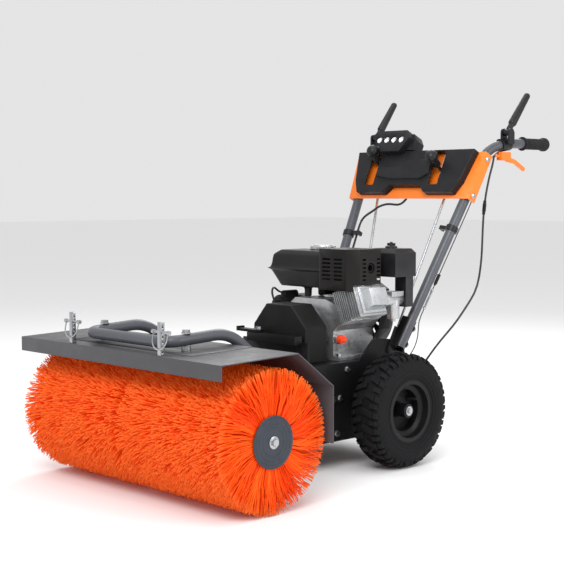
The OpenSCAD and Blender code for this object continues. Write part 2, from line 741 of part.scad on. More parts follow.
module muffler() {
  color(col_grey) in_frame() difference() {
    union() {
      hull() for (x = [78, 156]) for (z = [muffler_z[0] + 12, muffler_z[1] - 12])
        translate([x, 0, z]) along_y(-108, -26, 24, $fn = 32);
      translate([0, outlet[0], outlet[1]]) along_x(150, guard[1] - 3, 24);
      for (x = [90, 140]) translate([x, -72, 0]) along_z(muffler_z[1] - 5, guard[5] - 2 - seat, 12);
    }
    translate([0, outlet[0], outlet[1]]) along_x(160, guard[1] + 5, 18);
  }
}

tank = [-176, 48, -118, 28, 486, 592];
tank_seam = 537;
cap_pos = [-32, -28];
module fuel_tank() {
  color(col_black) in_frame() difference() {
    union() {
      hull() {
        box(tank[0] + 8, tank[1] - 4, tank[2] + 8, tank[3] - 6, tank_seam - 1, tank_seam + 1);
        box(tank[0] + 34, tank[1] - 26, tank[2] + 26, tank[3] - 22, tank[4], tank[4] + 2);
      }
      hull() {
        box(tank[0] + 8, tank[1] - 4, tank[2] + 8, tank[3] - 6, tank_seam - 1, tank_seam + 1);
        box(tank[0] + 16, tank[1] - 6, tank[2] + 12, tank[3] - 10, tank[5] - 16, tank[5] - 14);
        box(tank[0] + 34, tank[1] - 14, tank[2] + 26, tank[3] - 22, tank[5] - 3, tank[5] - 1);
      }
      box(tank[0], tank[1], tank[2], tank[3], tank_seam - 1.5, tank_seam + 1.5);
      translate([cap_pos[0], cap_pos[1], 0]) along_z(tank[5] - 6, tank[5], 64);
      for (y = [-70, -15]) translate([-50, y, 0]) along_z(458 + seat, tank[4] + 5, 22);
    }
    translate([cap_pos[0], cap_pos[1], 0]) along_z(tank[4] + 12, tank[5] + 1, 50);
  }
}
module fuel_cap() {
  color(col_zinc) in_frame() translate([cap_pos[0], cap_pos[1], 0]) {
    along_z(tank[5] + seat, tank[5] + 10, 74);
    along_z(tank[5] - 8, tank[5] + seat + 0.1, 49.8);
    along_z(tank[5] + 9.9, tank[5] + 13, 56);
  }
}

filter = [95, 200, 20, 108, 520, 600];
module air_filter() {
  color(col_black) in_frame() {
    hull() {
      box(filter[0], filter[1], filter[2], filter[3], filter[4], filter[5] - 14);
      box(filter[0] + 8, filter[1] - 12, filter[2] + 12, filter[3] - 6, filter[5] - 3, filter[5] - 2);
    }
    box(152, 192, 74 + seat, 106, 434, filter[4] + 0.1);
    translate([148, 62, 0]) along_z(filter[5] - 3, filter[5] + 4, 34);
    translate([148, 62, 0]) along_z(filter[5] + 3, filter[5] + 16, 8);
    box(134, 162, 60, 64, filter[5] + 5, filter[5] + 13);
  }
}
module carburettor() {
  color(col_alu) in_frame() {
    translate([inlet[0], 0, inlet[1]]) along_y(2 + seat, 74, 34);
    translate([inlet[0], 48, 0]) along_z(402, inlet[1], 36);
    translate([inlet[0], 48, 0]) along_z(394, 404, 14);
    box(inlet[0] - 20, inlet[0] + 20, 20, 70, inlet[1] + 10, inlet[1] + 24);
  }
}

cowl = [case_y[1] + seat, 95, 130];
recoil_exit = [-80, 113, 474];
module cowl_outline(inset) {
  polygon([[-112 + inset, 340 + inset], [-60 + inset / 2, 304 + inset], [44 - inset / 2, 304 + inset],
    [114 - inset, 367 + inset / 2], [118 - inset, 400], [112 - inset, 480 - inset],
    [60, 508 - inset], [-70, 508 - inset], [-112 + inset, 470]]);
}
module blower_housing() {
  wall = 3;
  color(col_black) in_frame() difference() {
    union() {
      profile_y(cowl[0], cowl[1]) cowl_outline(0);
      translate([0, 0, crank_z]) along_y(cowl[1] - 1, cowl[2], 196);
      translate([recoil_exit[0], recoil_exit[1], 0]) along_z(420, recoil_exit[2], 26);
    }
    profile_y(cowl[0] - 1, cowl[1] - wall) cowl_outline(wall);
    translate([0, 0, crank_z]) along_y(cowl[1] - wall - 1, cowl[2] - wall, 180);
    for (i = [0 : 11]) translate([0, 0, crank_z]) rotate([0, 30 * i, 0])
      box(30, 66, cowl[2] - 5, cowl[2] + 1, -4, 4);
    translate([recoil_exit[0], recoil_exit[1], 0]) along_z(440, recoil_exit[2] + 1, 5.6);
  }
}
rope_gap = 8;
module recoil_handle() {
  z = recoil_exit[2] + rope_gap;
  color(col_rubber) in_frame() translate([recoil_exit[0], recoil_exit[1], 0]) {
    along_z(z, z + 16, 20);
    translate([0, 0, z + 22]) along_x(-36, 36, 20);
  }
}
module recoil_rope() {
  color([0.15, 0.15, 0.15]) in_frame() translate([recoil_exit[0], recoil_exit[1], 0])
    along_z(recoil_exit[2] - 12, recoil_exit[2] + rope_gap - seat, 5);
}

module starter_motor() {
  color(col_black) in_frame() translate([starter_x, 0, 430]) {
    along_y(-110, 0, starter_d);
    along_y(-118, -109.9, starter_d - 10);
    translate([0, 0, 32]) along_y(-95, -45, 22);
  }
}
module oil_cap() {
  color([1, 0.3, 0.12]) in_frame() translate([0, oil_pos[0], oil_pos[1]]) {
    along_x(100 + seat, 112, 26);
    translate([0, 0, 0]) box(111, 118, -12, 12, -4, 4);
  }
}

// Crankshaft with its webs, and the flywheel and the belt pulley on its ends
pulley_y = [-213, -183];
pulley_w = 16;
engine_pulley_d = 70;
module vee_pulley(y0, d, bore) {
  // One groove, as wide as the belt, in the middle of the rim
  translate([0, y0, 0]) rotate([-90, 0, 0]) rotate_extrude() polygon([
    [bore / 2, 0], [d / 2, 0], [d / 2, 2], [d / 2 - 8, pulley_w / 2 - 2],
    [d / 2 - 8, pulley_w / 2 + 2], [d / 2, pulley_w - 2], [d / 2, pulley_w], [bore / 2, pulley_w]]);
}
module crankshaft() {
  color(col_zinc) in_frame() translate([0, 0, crank_z]) {
    along_y(pulley_y[0] - 3, cowl[1] - 12, crank_d);
    for (y = [-40, -14]) difference() {
      along_y(y, y + 12, 76);
      along_y(y - 1, y + 13, crank_d - 1);
    }
    for (y = pulley_y) vee_pulley(y, engine_pulley_d, crank_d + 0.1);
    difference() {
      along_y(cowl[0] + 8, cowl[0] + 28, 150);
      along_y(cowl[0] + 7, cowl[0] + 29, crank_d + 0.1);
    }
  }
}

// ---------------------------------------------------------------- drive

brush_pulley_d = 150;
travel_pulley_d = 120;
travel_z = 180;
travel_shaft_d = 16;
case_w = 70;
module transmission() {
  color(col_black) in_frame() difference() {
    union() {
      box(-case_w, case_w, -60, 60, pan_z + seat, 214);
      translate([0, 0, travel_z]) along_y(-78, -59, 48);
      both_sides() translate([0, 0, axle_z]) along_x(case_w - 1, case_w + 18, 44);
    }
    box(-case_w + 6, case_w - 6, -54, 54, pan_z + 6, 208);
    translate([0, 0, travel_z]) along_y(-79, -50, travel_shaft_d + 2 * run);
    both_sides() translate([0, 0, axle_z]) along_x(case_w - 10, case_w + 20, axle_d + 2 * run);
  }
}
module travel_pulley() {
  color(col_zinc) in_frame() translate([0, 0, travel_z]) {
    along_y(pulley_y[1] - 2, -20, travel_shaft_d);
    vee_pulley(pulley_y[1], travel_pulley_d, travel_shaft_d + 0.1);
  }
}
module belt_loop(y0, z_low, d_low, d_high) {
  slack = 1;
  depth = 7;
  translate([0, y0 + pulley_w / 2 + 1.5, 0]) rotate([90, 0, 0]) linear_extrude(3) difference() {
    hull() {
      translate([0, crank_z]) circle(d = d_high - 16 + 2 * slack + 2 * depth, $fn = 48);
      translate([0, z_low]) circle(d = d_low - 16 + 2 * slack + 2 * depth, $fn = 48);
    }
    hull() {
      translate([0, crank_z]) circle(d = d_high - 16 + 2 * slack, $fn = 48);
      translate([0, z_low]) circle(d = d_low - 16 + 2 * slack, $fn = 48);
    }
  }
}
module drive_belts() {
  color(col_rubber) in_frame() {
    belt_loop(pulley_y[0], shaft_z, brush_pulley_d, engine_pulley_d);
    belt_loop(pulley_y[1], travel_z, travel_pulley_d, engine_pulley_d);
  }
}

// Universal joint: each shaft ends in a two-eared yoke on a cross that turns with the rear shaft
yoke_w = 14;
yoke_in = 12;
yoke_out = 16;
cross_pin_d = 6;
module drive_shaft() {
  color(col_zinc) in_frame() translate([0, 0, shaft_z]) {
    along_y(pivot_y + 26, pulley_y[0] + pulley_w + 4, axle_d);
    translate([0, pivot_y, 0]) {
      along_y(18, 27, 32);
      for (s = [-1, 1]) box(s * (yoke_in + yoke_out) / 2 - 2, s * (yoke_in + yoke_out) / 2 + 2, -8, 20,
        -yoke_w / 2, yoke_w / 2);
      translate([-8, -8, -8]) cube(16);
      along_x(-yoke_in - 1, yoke_in + 1, cross_pin_d);
      along_z(-yoke_out, yoke_out, cross_pin_d);
    }
    vee_pulley(pulley_y[0], brush_pulley_d, axle_d + 0.1);
  }
}
worm_d = 18;
module worm_shaft() {
  color(col_zinc) in_frame() translate([0, 0, shaft_z]) {
    along_y(brush_y - 52, pivot_y - 20, 16);
    along_y(brush_y - 22, brush_y + 22, worm_d);
    translate([0, pivot_y, 0]) difference() {
      union() {
        along_y(-28, -18, 32);
        for (s = [-1, 1]) box(-yoke_w / 2, yoke_w / 2, -20, 7, s * (yoke_in + yoke_out) / 2 - 2,
          s * (yoke_in + yoke_out) / 2 + 2);
      }
      along_z(-30, 30, cross_pin_d + 2 * run);
    }
  }
}

// ---------------------------------------------------------------- wheels

lip_r = 85;
bead = rim_w / 2 - 3.4;
function arc(cx, cy, rx, ry, a0, a1, n) =
  [for (i = [0 : n]) let (a = a0 + (a1 - a0) * i / n) [cx + rx * cos(a), cy + ry * sin(a)]];
// The tyre's section, as radius and offset, from one bead round the crown to the other
tyre_section = concat(
  [[77.4, bead], [lip_r + 1, bead], [90, rim_w / 2 + 2]],
  arc(116, 0, 42, tyre_w / 2, 118, 20, 9),
  [[wheel_d / 2, tyre_w * 0.24], [wheel_d / 2, -tyre_w * 0.24]],
  arc(116, 0, 42, tyre_w / 2, -20, -118, 9),
  [[90, -rim_w / 2 - 2], [lip_r + 1, -bead], [77.4, -bead], [77.4, -bead + 11], [100, -rim_w / 2 + 4]],
  [[136, -tyre_w * 0.3], [136, tyre_w * 0.3]],
  [[100, rim_w / 2 - 4], [77.4, bead - 11]]);
module tyre() {
  translate([wheel_x, 0, axle_z]) rotate([0, 90, 0]) rotate_extrude($fn = 96) polygon(tyre_section);
}
module rim() {
  w = rim_w / 2;
  hub_d = 38;
  translate([wheel_x, 0, axle_z]) rotate([0, 90, 0]) rotate_extrude($fn = 96) {
    polygon([[lip_r, -w], [lip_r, -w + 3], [77, -w + 3], [74, -22], [62, -16], [62, 16], [74, 22],
      [77, w - 3], [lip_r, w - 3], [lip_r, w], [74, w], [71, 24], [59, 18], [59, -6], [hub_d / 2, -10],
      [hub_d / 2, hub_end], [axle_d / 2 + run, hub_end], [axle_d / 2 + run, -40], [hub_d / 2, -40],
      [hub_d / 2, -14], [59, -10], [59, -18], [71, -24], [74, -w]]);
  }
}
hub_end = 34;
module half_axle() {
  translate([0, 0, axle_z]) {
    along_x(20, wheel_x + hub_end, axle_d);
    along_x(20, 30, 60);
    along_x(wheel_x + hub_end + 0.1, wheel_x + hub_end + 2.6, 26);
    translate([wheel_x + hub_end - 0.1, 0, 0]) rotate([0, 90, 0]) cylinder(d = 15, h = 8, $fn = 6);
  }
}
module tyre_left() {
  color(col_rubber) in_frame() tyre();
}
module tyre_right() {
  color(col_rubber) in_frame() mirror([1, 0, 0]) tyre();
}
module rim_left() {
  color(col_black) in_frame() rim();
}
module rim_right() {
  color(col_black) in_frame() mirror([1, 0, 0]) rim();
}
module axle_left() {
  color(col_zinc) in_frame() half_axle();
}
module axle_right() {
  color(col_zinc) in_frame() mirror([1, 0, 0]) half_axle();
}

// ---------------------------------------------------------------- brush head

top_z = brush_d + hood_gap;
hood_front = brush_y - hood_reach;
hood_bend = brush_y + 71;
hood_back = brush_y + 190.5;
hood_side = [[hood_front, top_z - lip_h], [hood_front, top_z], [hood_bend, top_z + 7],
  [hood_back, top_z - 82], [hood_back, 148.5]];
function hood_top(y) = top_z + 7 * (y - hood_front) / (hood_bend - hood_front);
// The inner side of a bent sheet: each corner moved in by the thickness along its mitre
function left_of(v) = [v[1], -v[0]] / norm(v);
function inner_side(p, t) = [
  for (i = [0 : len(p) - 1])
    let (a = i == 0 ? left_of(p[1] - p[0]) : left_of(p[i] - p[i - 1]),
         b = i == len(p) - 1 ? a : left_of(p[i + 1] - p[i]),
         m = (a + b) / norm(a + b))
    p[i] + m * t / (m * a)
];
overlay_t = 1.2;
overlay = [brush_y - 121, hood_bend - 1, 246];
post_x = 180;
post_y = hood_front + 10;
post_a = 12;
post_h = 79;
frame_x = 165;
bolt_y = brush_y - 71;
back_bolt = [120, shaft_z];
module hood() {
  color(col_grey) in_frame() difference() {
    union() {
      profile_x(-hood_w / 2, hood_w / 2)
        polygon(concat(hood_side, [for (i = [4 : -1 : 0]) inner_side(hood_side, hood_t)[i]]));
      profile_x(-overlay[2], overlay[2]) polygon([
        [overlay[0], hood_top(overlay[0]) - 1], [overlay[1], hood_top(overlay[1]) - 1],
        [overlay[1], hood_top(overlay[1]) + overlay_t], [overlay[0], hood_top(overlay[0]) + overlay_t]]);
    }
    // Holes for the drive tube, the frame's bolts and the back bolts
    translate([0, 0, shaft_z]) along_y(hood_back - 10, hood_back + 10, drive_tube_d + 8);
    both_sides() translate([frame_x, bolt_y, 0]) along_z(top_z - 20, top_z + 20, 9);
    both_sides() translate([back_bolt[0], 0, back_bolt[1]]) along_y(hood_back - 10, hood_back + 10, 9);
  }
}

drive_tube_d = 44;
beam = [hood_back + 4.5, hood_back + 40.5, shaft_z - 40, shaft_z + 40];
leg_y = (beam[0] + beam[1]) / 2;
cross_y = hood_front + 43;
leg_points = [[frame_x, cross_y, top_z + 27], [frame_x, hood_bend - 8, top_z + 37],
  [frame_x, leg_y, top_z - 76], [frame_x, leg_y, beam[3] - 6]];
frame_points = concat([for (i = [3 : -1 : 0]) [-leg_points[i][0], leg_points[i][1], leg_points[i][2]]],
  leg_points);
frame_path = rounded(frame_points, 46);
bolt_top = hood_top(bolt_y) + overlay_t + 11 + tube_d + 2 * seat;
module head_frame() {
  color(col_tube) in_frame() {
    difference() {
      tube_along(frame_path, tube_d / 2, 16, [0, 0.3, 1]);
      tube_along(frame_path, tube_d / 2 - tube_wall, 16, [0, 0.3, 1]);
      both_sides() translate([frame_x, bolt_y, 0]) along_z(top_z, top_z + 60, 9);
      box(-200, 200, beam[0] - 10, beam[1] + 10, 0, beam[3] - 2);
    }
    difference() {
      union() {
        box(-190, 190, beam[0], beam[1], beam[2], beam[3]);
        for (z = neck_z) {
          box(-28, 28, beam[1] - 5, pivot_y, z, z + neck_t);
          translate([0, pivot_y, 0]) along_z(z, z + neck_t, 56);
        }
      }
      box(-186, 186, beam[0] + 4, beam[1] - 4, beam[2] + 4, beam[3] - 4);
      translate([0, 0, shaft_z]) along_y(beam[0] - 1, beam[1] + 1, 36);
      translate([0, pivot_y, 0]) along_z(neck_z[0] - 5, neck_z[1] + 20, pin_d + 2 * run);
      both_sides() translate([back_bolt[0], 0, back_bolt[1]]) along_y(beam[0] - 1, beam[0] + 10, 9);
    }
  }
}
module spacer(h) {
  difference() {
    cylinder(d = 24, h = h);
    translate([0, 0, -1]) cylinder(d = 9, h = h + 2);
  }
}
module head_bolts() {
  rubber_z = hood_top(bolt_y) + overlay_t + seat;
  color(col_zinc) in_frame() both_sides() {
    translate([frame_x, bolt_y, bolt_top + 1]) {
      bolt_head(10);
      translate([0, 0, -tube_d - 22]) cylinder(d = 8, h = tube_d + 23);
    }
    translate([frame_x, bolt_y, rubber_z]) spacer(10.4);
    translate([back_bolt[0], hood_back + seat, back_bolt[1]]) rotate([-90, 0, 0])
      spacer(4.5 - 2 * seat);
    translate([back_bolt[0], hood_back - hood_t - seat, back_bolt[1]]) rotate([90, 0, 0]) {
      bolt_head(9);
      translate([0, 0, -12]) cylinder(d = 8, h = 13);
    }
  }
}

pin_z = 427;
lock_pin_d = 6.5;
module collector_posts() {
  z0 = hood_top(post_y) + seat;
  color(col_zinc) in_frame() both_sides() translate([post_x, post_y, 0]) difference() {
    box(-post_a / 2, post_a / 2, -post_a / 2, post_a / 2, z0, z0 + post_h);
    for (i = [0 : 5]) if (i != 4) translate([0, 0, z0 + 9 + 11.7 * i]) along_x(-10, 10, 4.6);
    translate([0, 0, pin_z]) along_x(-10, 10, lock_pin_d + 2 * run);
  }
}
bail_w = 27;
bail_drop = 42;
bail_tilt = 14;
module lock_pin() {
  bow = concat(
    [[-bail_w, 0, 0]],
    [for (i = [0 : 12]) [-bail_w * cos(15 * i), 0, -bail_drop + bail_w - bail_w * sin(15 * i)]],
    [[bail_w, 0, 0]]);
  color(col_zinc) in_frame() translate([post_x, post_y, pin_z]) {
    along_x(-bail_w - 4, bail_w + 4, lock_pin_d);
    for (s = [-1, 1]) translate([s * (bail_w + 1), 0, 0]) along_x(-4.5, 4.5, 10);
    rotate([-bail_tilt, 0, 0]) tube_along(bow, 1.6, 8, [0, 1, 0]);
  }
}
module lock_pin_left() {
  lock_pin();
}
module lock_pin_right() {
  mirror([1, 0, 0]) lock_pin();
}

wheel_teeth = 24;
worm_wheel_r = 35.6;
module brush_gearbox() {
  body_w = brush_gap - 8;
  color(col_alu) in_frame() difference() {
    union() {
      translate([0, brush_y, brush_z]) along_x(-body_w / 2, body_w / 2, 104);
      box(-22, 22, brush_y - 56, brush_y + 60, brush_z + 20, shaft_z + 22);
      translate([0, 0, shaft_z]) along_y(brush_y + 50, beam[0] - 9.7, drive_tube_d);
      translate([0, 0, shaft_z]) along_y(beam[0] - 10, beam[0] - seat, drive_tube_d + 4);
    }
    translate([0, brush_y, brush_z]) along_x(-11, 11, 2 * worm_wheel_r + 8);
    translate([0, brush_y, brush_z]) along_x(-60, 60, brush_shaft_d + 2 * run);
    translate([0, 0, shaft_z]) along_y(brush_y - 40, beam[0] - 20, 26);
    translate([0, 0, shaft_z]) along_y(brush_y - 53, beam[0] + 5, 16 + 2 * run);
  }
}
// The brush shaft with its worm wheel and the two bristle tubes on their end webs
module brush_core() {
  x0 = brush_gap / 2;
  x1 = brush_w / 2;
  color(col_zinc) in_frame() translate([0, brush_y, brush_z]) {
    along_x(-x1, x1, brush_shaft_d);
    rotate([0, 90, 0]) translate([0, 0, -8]) linear_extrude(16) polygon([
      for (i = [0 : wheel_teeth * 4 - 1])
        let (r = i % 4 < 2 ? worm_wheel_r : worm_wheel_r - 4, a = 360 * i / (wheel_teeth * 4))
        [r * cos(a), r * sin(a)]]);
    both_sides() difference() {
      along_x(x0, x1, core_d);
      along_x(x0 + 5, x1 - 5, core_d - 8);
      along_x(x0 - 1, x1 + 1, brush_shaft_d - 1);
    }
  }
}
// Each half of the brush is a sleeve with rings of bristles on it. The last ring ends at the disc
ring_w = 6;
ring_pitch = 25;
module bristles() {
  length = (brush_w - brush_gap) / 2 - ring_w;
  rings = floor(length / ring_pitch);
  color(col_brush) in_frame() translate([0, brush_y, brush_z]) both_sides() difference() {
    union() {
      along_x(brush_gap / 2, brush_w / 2, core_d + 10);
      for (i = [0 : rings]) translate([brush_gap / 2 + length * i / rings, 0, 0])
        along_x(0, ring_w, brush_d, $fn = 96);
    }
    along_x(brush_gap / 2 - 1, brush_w / 2 + 1, core_d + 0.4);
  }
}
module brush_discs() {
  color([0.2, 0.23, 0.28]) in_frame() translate([0, brush_y, brush_z]) both_sides() {
    translate([brush_w / 2 + seat, 0, 0]) {
      difference() {
        along_x(0, disc_t, disc_d);
        along_x(-1, disc_t + 1, 12);
      }
      translate([disc_t + seat / 3, 0, 0]) rotate([0, 90, 0]) bolt_head(9);
    }
  }
}

main_frame();
bearings();
belt_cover();
swivel_bracket();
frame_bolts();
handle_tubes();
handle_brackets();
grips();
lever_clamps();
console_bracket();
console_cover();
headlight();
headlight_leds();
cable_clips();
trigger_bracket();
cables();
crankcase();
cylinder_head();
valve_cover();
muffler_guard();
muffler();
fuel_tank();
air_filter();
carburettor();
blower_housing();
starter_motor();
transmission();
drive_belts();
hood();
head_frame();
head_bolts();
collector_posts();
brush_gearbox();
lock_pin_left();
lock_pin_right();
bristles();
brush_core();
brush_discs();
worm_shaft();
drive_shaft();
travel_pulley();
crankshaft();
tyre_left();
rim_left();
axle_left();
tyre_right();
rim_right();
axle_right();
fuel_cap();
oil_cap();
clutch_lever_left();
clutch_lever_right();
shift_lever_left();
shift_lever_right();
shift_rod_left();
shift_rod_right();
trigger();
latch_lever();
recoil_handle();
recoil_rope();
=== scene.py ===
"""The looks of the walk-behind sweeper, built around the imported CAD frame.

Lengths are metres in the row frame: -Y is the brush end, +Y the operator, +X the operator's left.
CAD pieces keep their shape: sheet and cast ones are copied with rounded edges, and the brush,
tyres, tubes, cables and plastic covers get detailed pieces that replace the plain CAD solids.
"""

import math
import json

import bmesh
import bpy
import numpy as np
from mathutils import Matrix, Vector


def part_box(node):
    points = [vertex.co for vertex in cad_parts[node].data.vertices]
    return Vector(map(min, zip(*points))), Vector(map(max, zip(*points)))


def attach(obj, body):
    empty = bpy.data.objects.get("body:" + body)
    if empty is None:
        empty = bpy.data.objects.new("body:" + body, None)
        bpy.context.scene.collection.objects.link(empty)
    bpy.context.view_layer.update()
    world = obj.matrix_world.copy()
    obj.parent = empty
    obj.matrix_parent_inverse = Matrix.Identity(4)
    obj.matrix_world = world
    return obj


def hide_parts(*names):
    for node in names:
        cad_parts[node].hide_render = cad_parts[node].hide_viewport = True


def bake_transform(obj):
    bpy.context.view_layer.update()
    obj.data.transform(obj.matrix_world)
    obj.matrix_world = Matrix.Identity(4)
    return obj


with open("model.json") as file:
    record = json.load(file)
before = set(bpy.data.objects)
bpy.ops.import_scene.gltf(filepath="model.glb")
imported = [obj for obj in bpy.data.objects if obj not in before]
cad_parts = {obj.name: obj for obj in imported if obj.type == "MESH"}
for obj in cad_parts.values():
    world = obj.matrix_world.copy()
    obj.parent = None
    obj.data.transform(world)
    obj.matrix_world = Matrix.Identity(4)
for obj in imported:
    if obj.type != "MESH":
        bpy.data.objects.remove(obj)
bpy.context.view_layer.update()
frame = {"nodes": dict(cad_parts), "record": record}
MM = 0.001
MERGE = 1e-6  # vertices nearer than this are one


def box(node):
    """The lowest and highest corners of a CAD node."""
    low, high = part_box(node)
    return Vector(low), Vector(high)


def centre(node):
    """The middle of a CAD node's box."""
    low, high = box(node)
    return (low + high) / 2


# ------------------------------------------------------------------ camera, light and floor


def make_camera():
    """A long lens, low at the front left, as product pictures are taken."""
    data = bpy.data.cameras.new("camera")
    data.lens = 79.6
    data.sensor_width = 36.0
    data.clip_end = 50
    camera = bpy.data.objects.new("camera", data)
    camera.location = (2.4638, -2.5116, 0.7421)
    camera.rotation_euler = (math.radians(86.1), 0, math.radians(46.1))
    bpy.context.scene.collection.objects.link(camera)
    bpy.context.scene.camera = camera


def area_light(name, place, target, size, power):
    """A soft box of that size, in metres, aimed at the target."""
    data = bpy.data.lights.new(name, "AREA")
    data.shape = "RECTANGLE"
    data.size, data.size_y = size
    data.energy = power
    lamp = bpy.data.objects.new(name, data)
    lamp.location = place
    aim = Vector(target) - Vector(place)
    lamp.rotation_euler = aim.to_track_quat("-Z", "Y").to_euler()
    bpy.context.scene.collection.objects.link(lamp)


def make_studio():
    """A white surround, four soft boxes and a pale floor."""
    world = bpy.data.worlds.new("studio")
    world.use_nodes = True
    sky = world.node_tree.nodes["Background"]
    sky.inputs["Color"].default_value = (1, 1, 1, 1)
    sky.inputs["Strength"].default_value = 0.78
    bpy.context.scene.world = world
    bpy.context.scene.view_settings.view_transform = "Standard"
    area_light("key", (1.8, -2.6, 2.8), (0, -0.2, 0.3), (2.2, 1.6), 80)
    area_light("side", (3.2, 0.8, 1.6), (0, 0.1, 0.5), (1.6, 2.0), 26)
    area_light("rear", (-1.6, 2.4, 2.6), (0, 0.2, 0.6), (2.0, 1.6), 30)
    area_light("top", (0, 0, 3.6), (0, 0, 0), (3.0, 3.0), 34)
    mesh = bpy.data.meshes.new("floor")
    reach = 30
    corners = [(-reach, -reach, 0), (reach, -reach, 0), (reach, reach, 0), (-reach, reach, 0)]
    mesh.from_pydata(corners, [], [(0, 1, 2, 3)])
    floor = bpy.data.objects.new("floor", mesh)
    bpy.context.scene.collection.objects.link(floor)
    paper = bpy.data.materials.new("studio_paper")
    paper.use_nodes = True
    shader = paper.node_tree.nodes["Principled BSDF"]
    shader.inputs["Base Color"].default_value = (0.93, 0.93, 0.93, 1)
    shader.inputs["Roughness"].default_value = 0.9
    shader.inputs["Specular IOR Level"].default_value = 0.1
    mesh.materials.append(paper)


# ------------------------------------------------------------------ materials


class Surface:
    """A Principled material whose colour, roughness and bump come from procedural noise."""

    def __init__(self, name, rough, metallic=0.0, coat=0.0, coat_rough=0.1, specular=0.5):
        self.material = bpy.data.materials.new(name)
        self.material.use_nodes = True
        self.nodes = self.material.node_tree.nodes
        self.links = self.material.node_tree.links
        self.shader = self.nodes["Principled BSDF"]
        put = self.shader.inputs
        put["Metallic"].default_value = metallic
        put["Roughness"].default_value = rough
        put["Coat Weight"].default_value = coat
        put["Coat Roughness"].default_value = coat_rough
        put["Specular IOR Level"].default_value = specular
        self.place = self.nodes.new("ShaderNodeTexCoord").outputs["Object"]
        self.height = None

    def noise(self, scale, detail=4.0, rough=0.55):
        """A noise value over the piece, scale being features per metre."""
        texture = self.nodes.new("ShaderNodeTexNoise")
        texture.inputs["Scale"].default_value = scale
        texture.inputs["Detail"].default_value = detail
        texture.inputs["Roughness"].default_value = rough
        self.links.new(self.place, texture.inputs["Vector"])
        return texture.outputs["Fac"]

    def cells(self, scale):
        """The distance to the nearest of scattered points, scale being points per metre."""
        texture = self.nodes.new("ShaderNodeTexVoronoi")
        texture.inputs["Scale"].default_value = scale
        self.links.new(self.place, texture.inputs["Vector"])
        return texture.outputs["Distance"]

    def ramp(self, value, stops):
        """Colours along a value; stops are (position, colour)."""
        node = self.nodes.new("ShaderNodeValToRGB")
        ramp = node.color_ramp
        while len(ramp.elements) < len(stops):
            ramp.elements.new(0.5)
        for element, (position, colour) in zip(ramp.elements, stops):
            element.position = position
            element.color = (*colour, 1)
        self.links.new(value, node.inputs["Fac"])
        return node.outputs["Color"]

    def spread(self, value, low, high, start=0.3, end=0.7):
        """The value mapped from start..end to low..high."""
        node = self.nodes.new("ShaderNodeMapRange")
        node.inputs["From Min"].default_value = start
        node.inputs["From Max"].default_value = end
        node.inputs["To Min"].default_value = low
        node.inputs["To Max"].default_value = high
        self.links.new(value, node.inputs["Value"])
        return node.outputs["Result"]

    def blend(self, factor, a, b):
        """Colour a where the factor is 0 and b where it is 1."""
        node = self.nodes.new("ShaderNodeMix")
        node.data_type = "RGBA"
        for socket, value in ((0, factor), (6, a), (7, b)):
            if isinstance(value, tuple):
                node.inputs[socket].default_value = (*value, 1)
            else:
                self.links.new(value, node.inputs[socket])
        return node.outputs[2]

    def read(self, name):
        """A number that the mesh stores at its points."""
        node = self.nodes.new("ShaderNodeAttribute")
        node.attribute_name = name
        return node.outputs["Fac"]

    def colour(self, value):
        """Sets the colour."""
        self.links.new(value, self.shader.inputs["Base Color"])

    def roughness(self, value):
        """Sets the roughness."""
        self.links.new(value, self.shader.inputs["Roughness"])

    def bump(self, value, depth):
        """Adds relief of that depth in metres."""
        node = self.nodes.new("ShaderNodeBump")
        node.inputs["Strength"].default_value = 1.0
        node.inputs["Distance"].default_value = depth
        self.links.new(value, node.inputs["Height"])
        if self.height is not None:
            self.links.new(self.height, node.inputs["Normal"])
        self.height = node.outputs["Normal"]
        self.links.new(self.height, self.shader.inputs["Normal"])


def painted(name, base, light, rough, coat=0.0, grain=900, grain_depth=0.00006, specular=0.35, dusty=0.12):
    """Powder coat or enamel: a fine orange peel, faint colour variation and dull patches."""
    s = Surface(name, rough, coat=coat, coat_rough=0.18, specular=specular)
    broad = s.noise(7, 5, 0.6)
    tone = s.ramp(broad, [(0.3, base), (0.7, light)])
    dust = s.noise(60, 6, 0.65)
    tone = s.blend(s.spread(dust, 0.0, dusty, 0.5, 0.8), tone, tuple(min(1, 1.5 * c + 0.02) for c in light))
    s.colour(tone)
    s.roughness(s.spread(s.noise(25, 5, 0.6), rough - 0.07, rough + 0.1))
    s.bump(s.noise(grain, 3, 0.5), grain_depth)
    return s.material


def plated(name, base, warm, rough, depth=0.00002):
    """Zinc or bare steel: cloudy tint, fine brushing."""
    s = Surface(name, rough, metallic=1.0)
    s.colour(s.ramp(s.noise(40, 5, 0.6), [(0.3, base), (0.72, warm)]))
    s.roughness(s.spread(s.noise(120, 5, 0.6), rough - 0.08, rough + 0.14))
    s.bump(s.noise(700, 3, 0.6), depth)
    return s.material


def cast(name, base, light, rough, grain=450, depth=0.00004):
    """Die-cast aluminium: a fine pebbled skin with darker hollows."""
    s = Surface(name, rough, metallic=0.85)
    pits = s.noise(grain, 5, 0.65)
    hollow = tuple(0.86 * c for c in base)
    face = s.ramp(s.noise(18, 4), [(0.3, base), (0.7, light)])
    s.colour(s.blend(s.spread(pits, 0, 1, 0.4, 0.6), hollow, face))
    s.roughness(s.spread(s.noise(80, 5), rough - 0.1, rough + 0.15))
    s.bump(pits, depth)
    return s.material


def plastic(name, base, rough, grain=1400, depth=0.00005, specular=0.35):
    """Moulded plastic or rubber with a leathery grain."""
    s = Surface(name, rough, specular=specular)
    s.colour(s.ramp(s.noise(22, 5), [(0.3, base), (0.75, tuple(1.35 * c + 0.004 for c in base))]))
    s.roughness(s.spread(s.noise(90, 4), rough - 0.06, rough + 0.1))
    s.bump(s.cells(grain), depth)
    return s.material


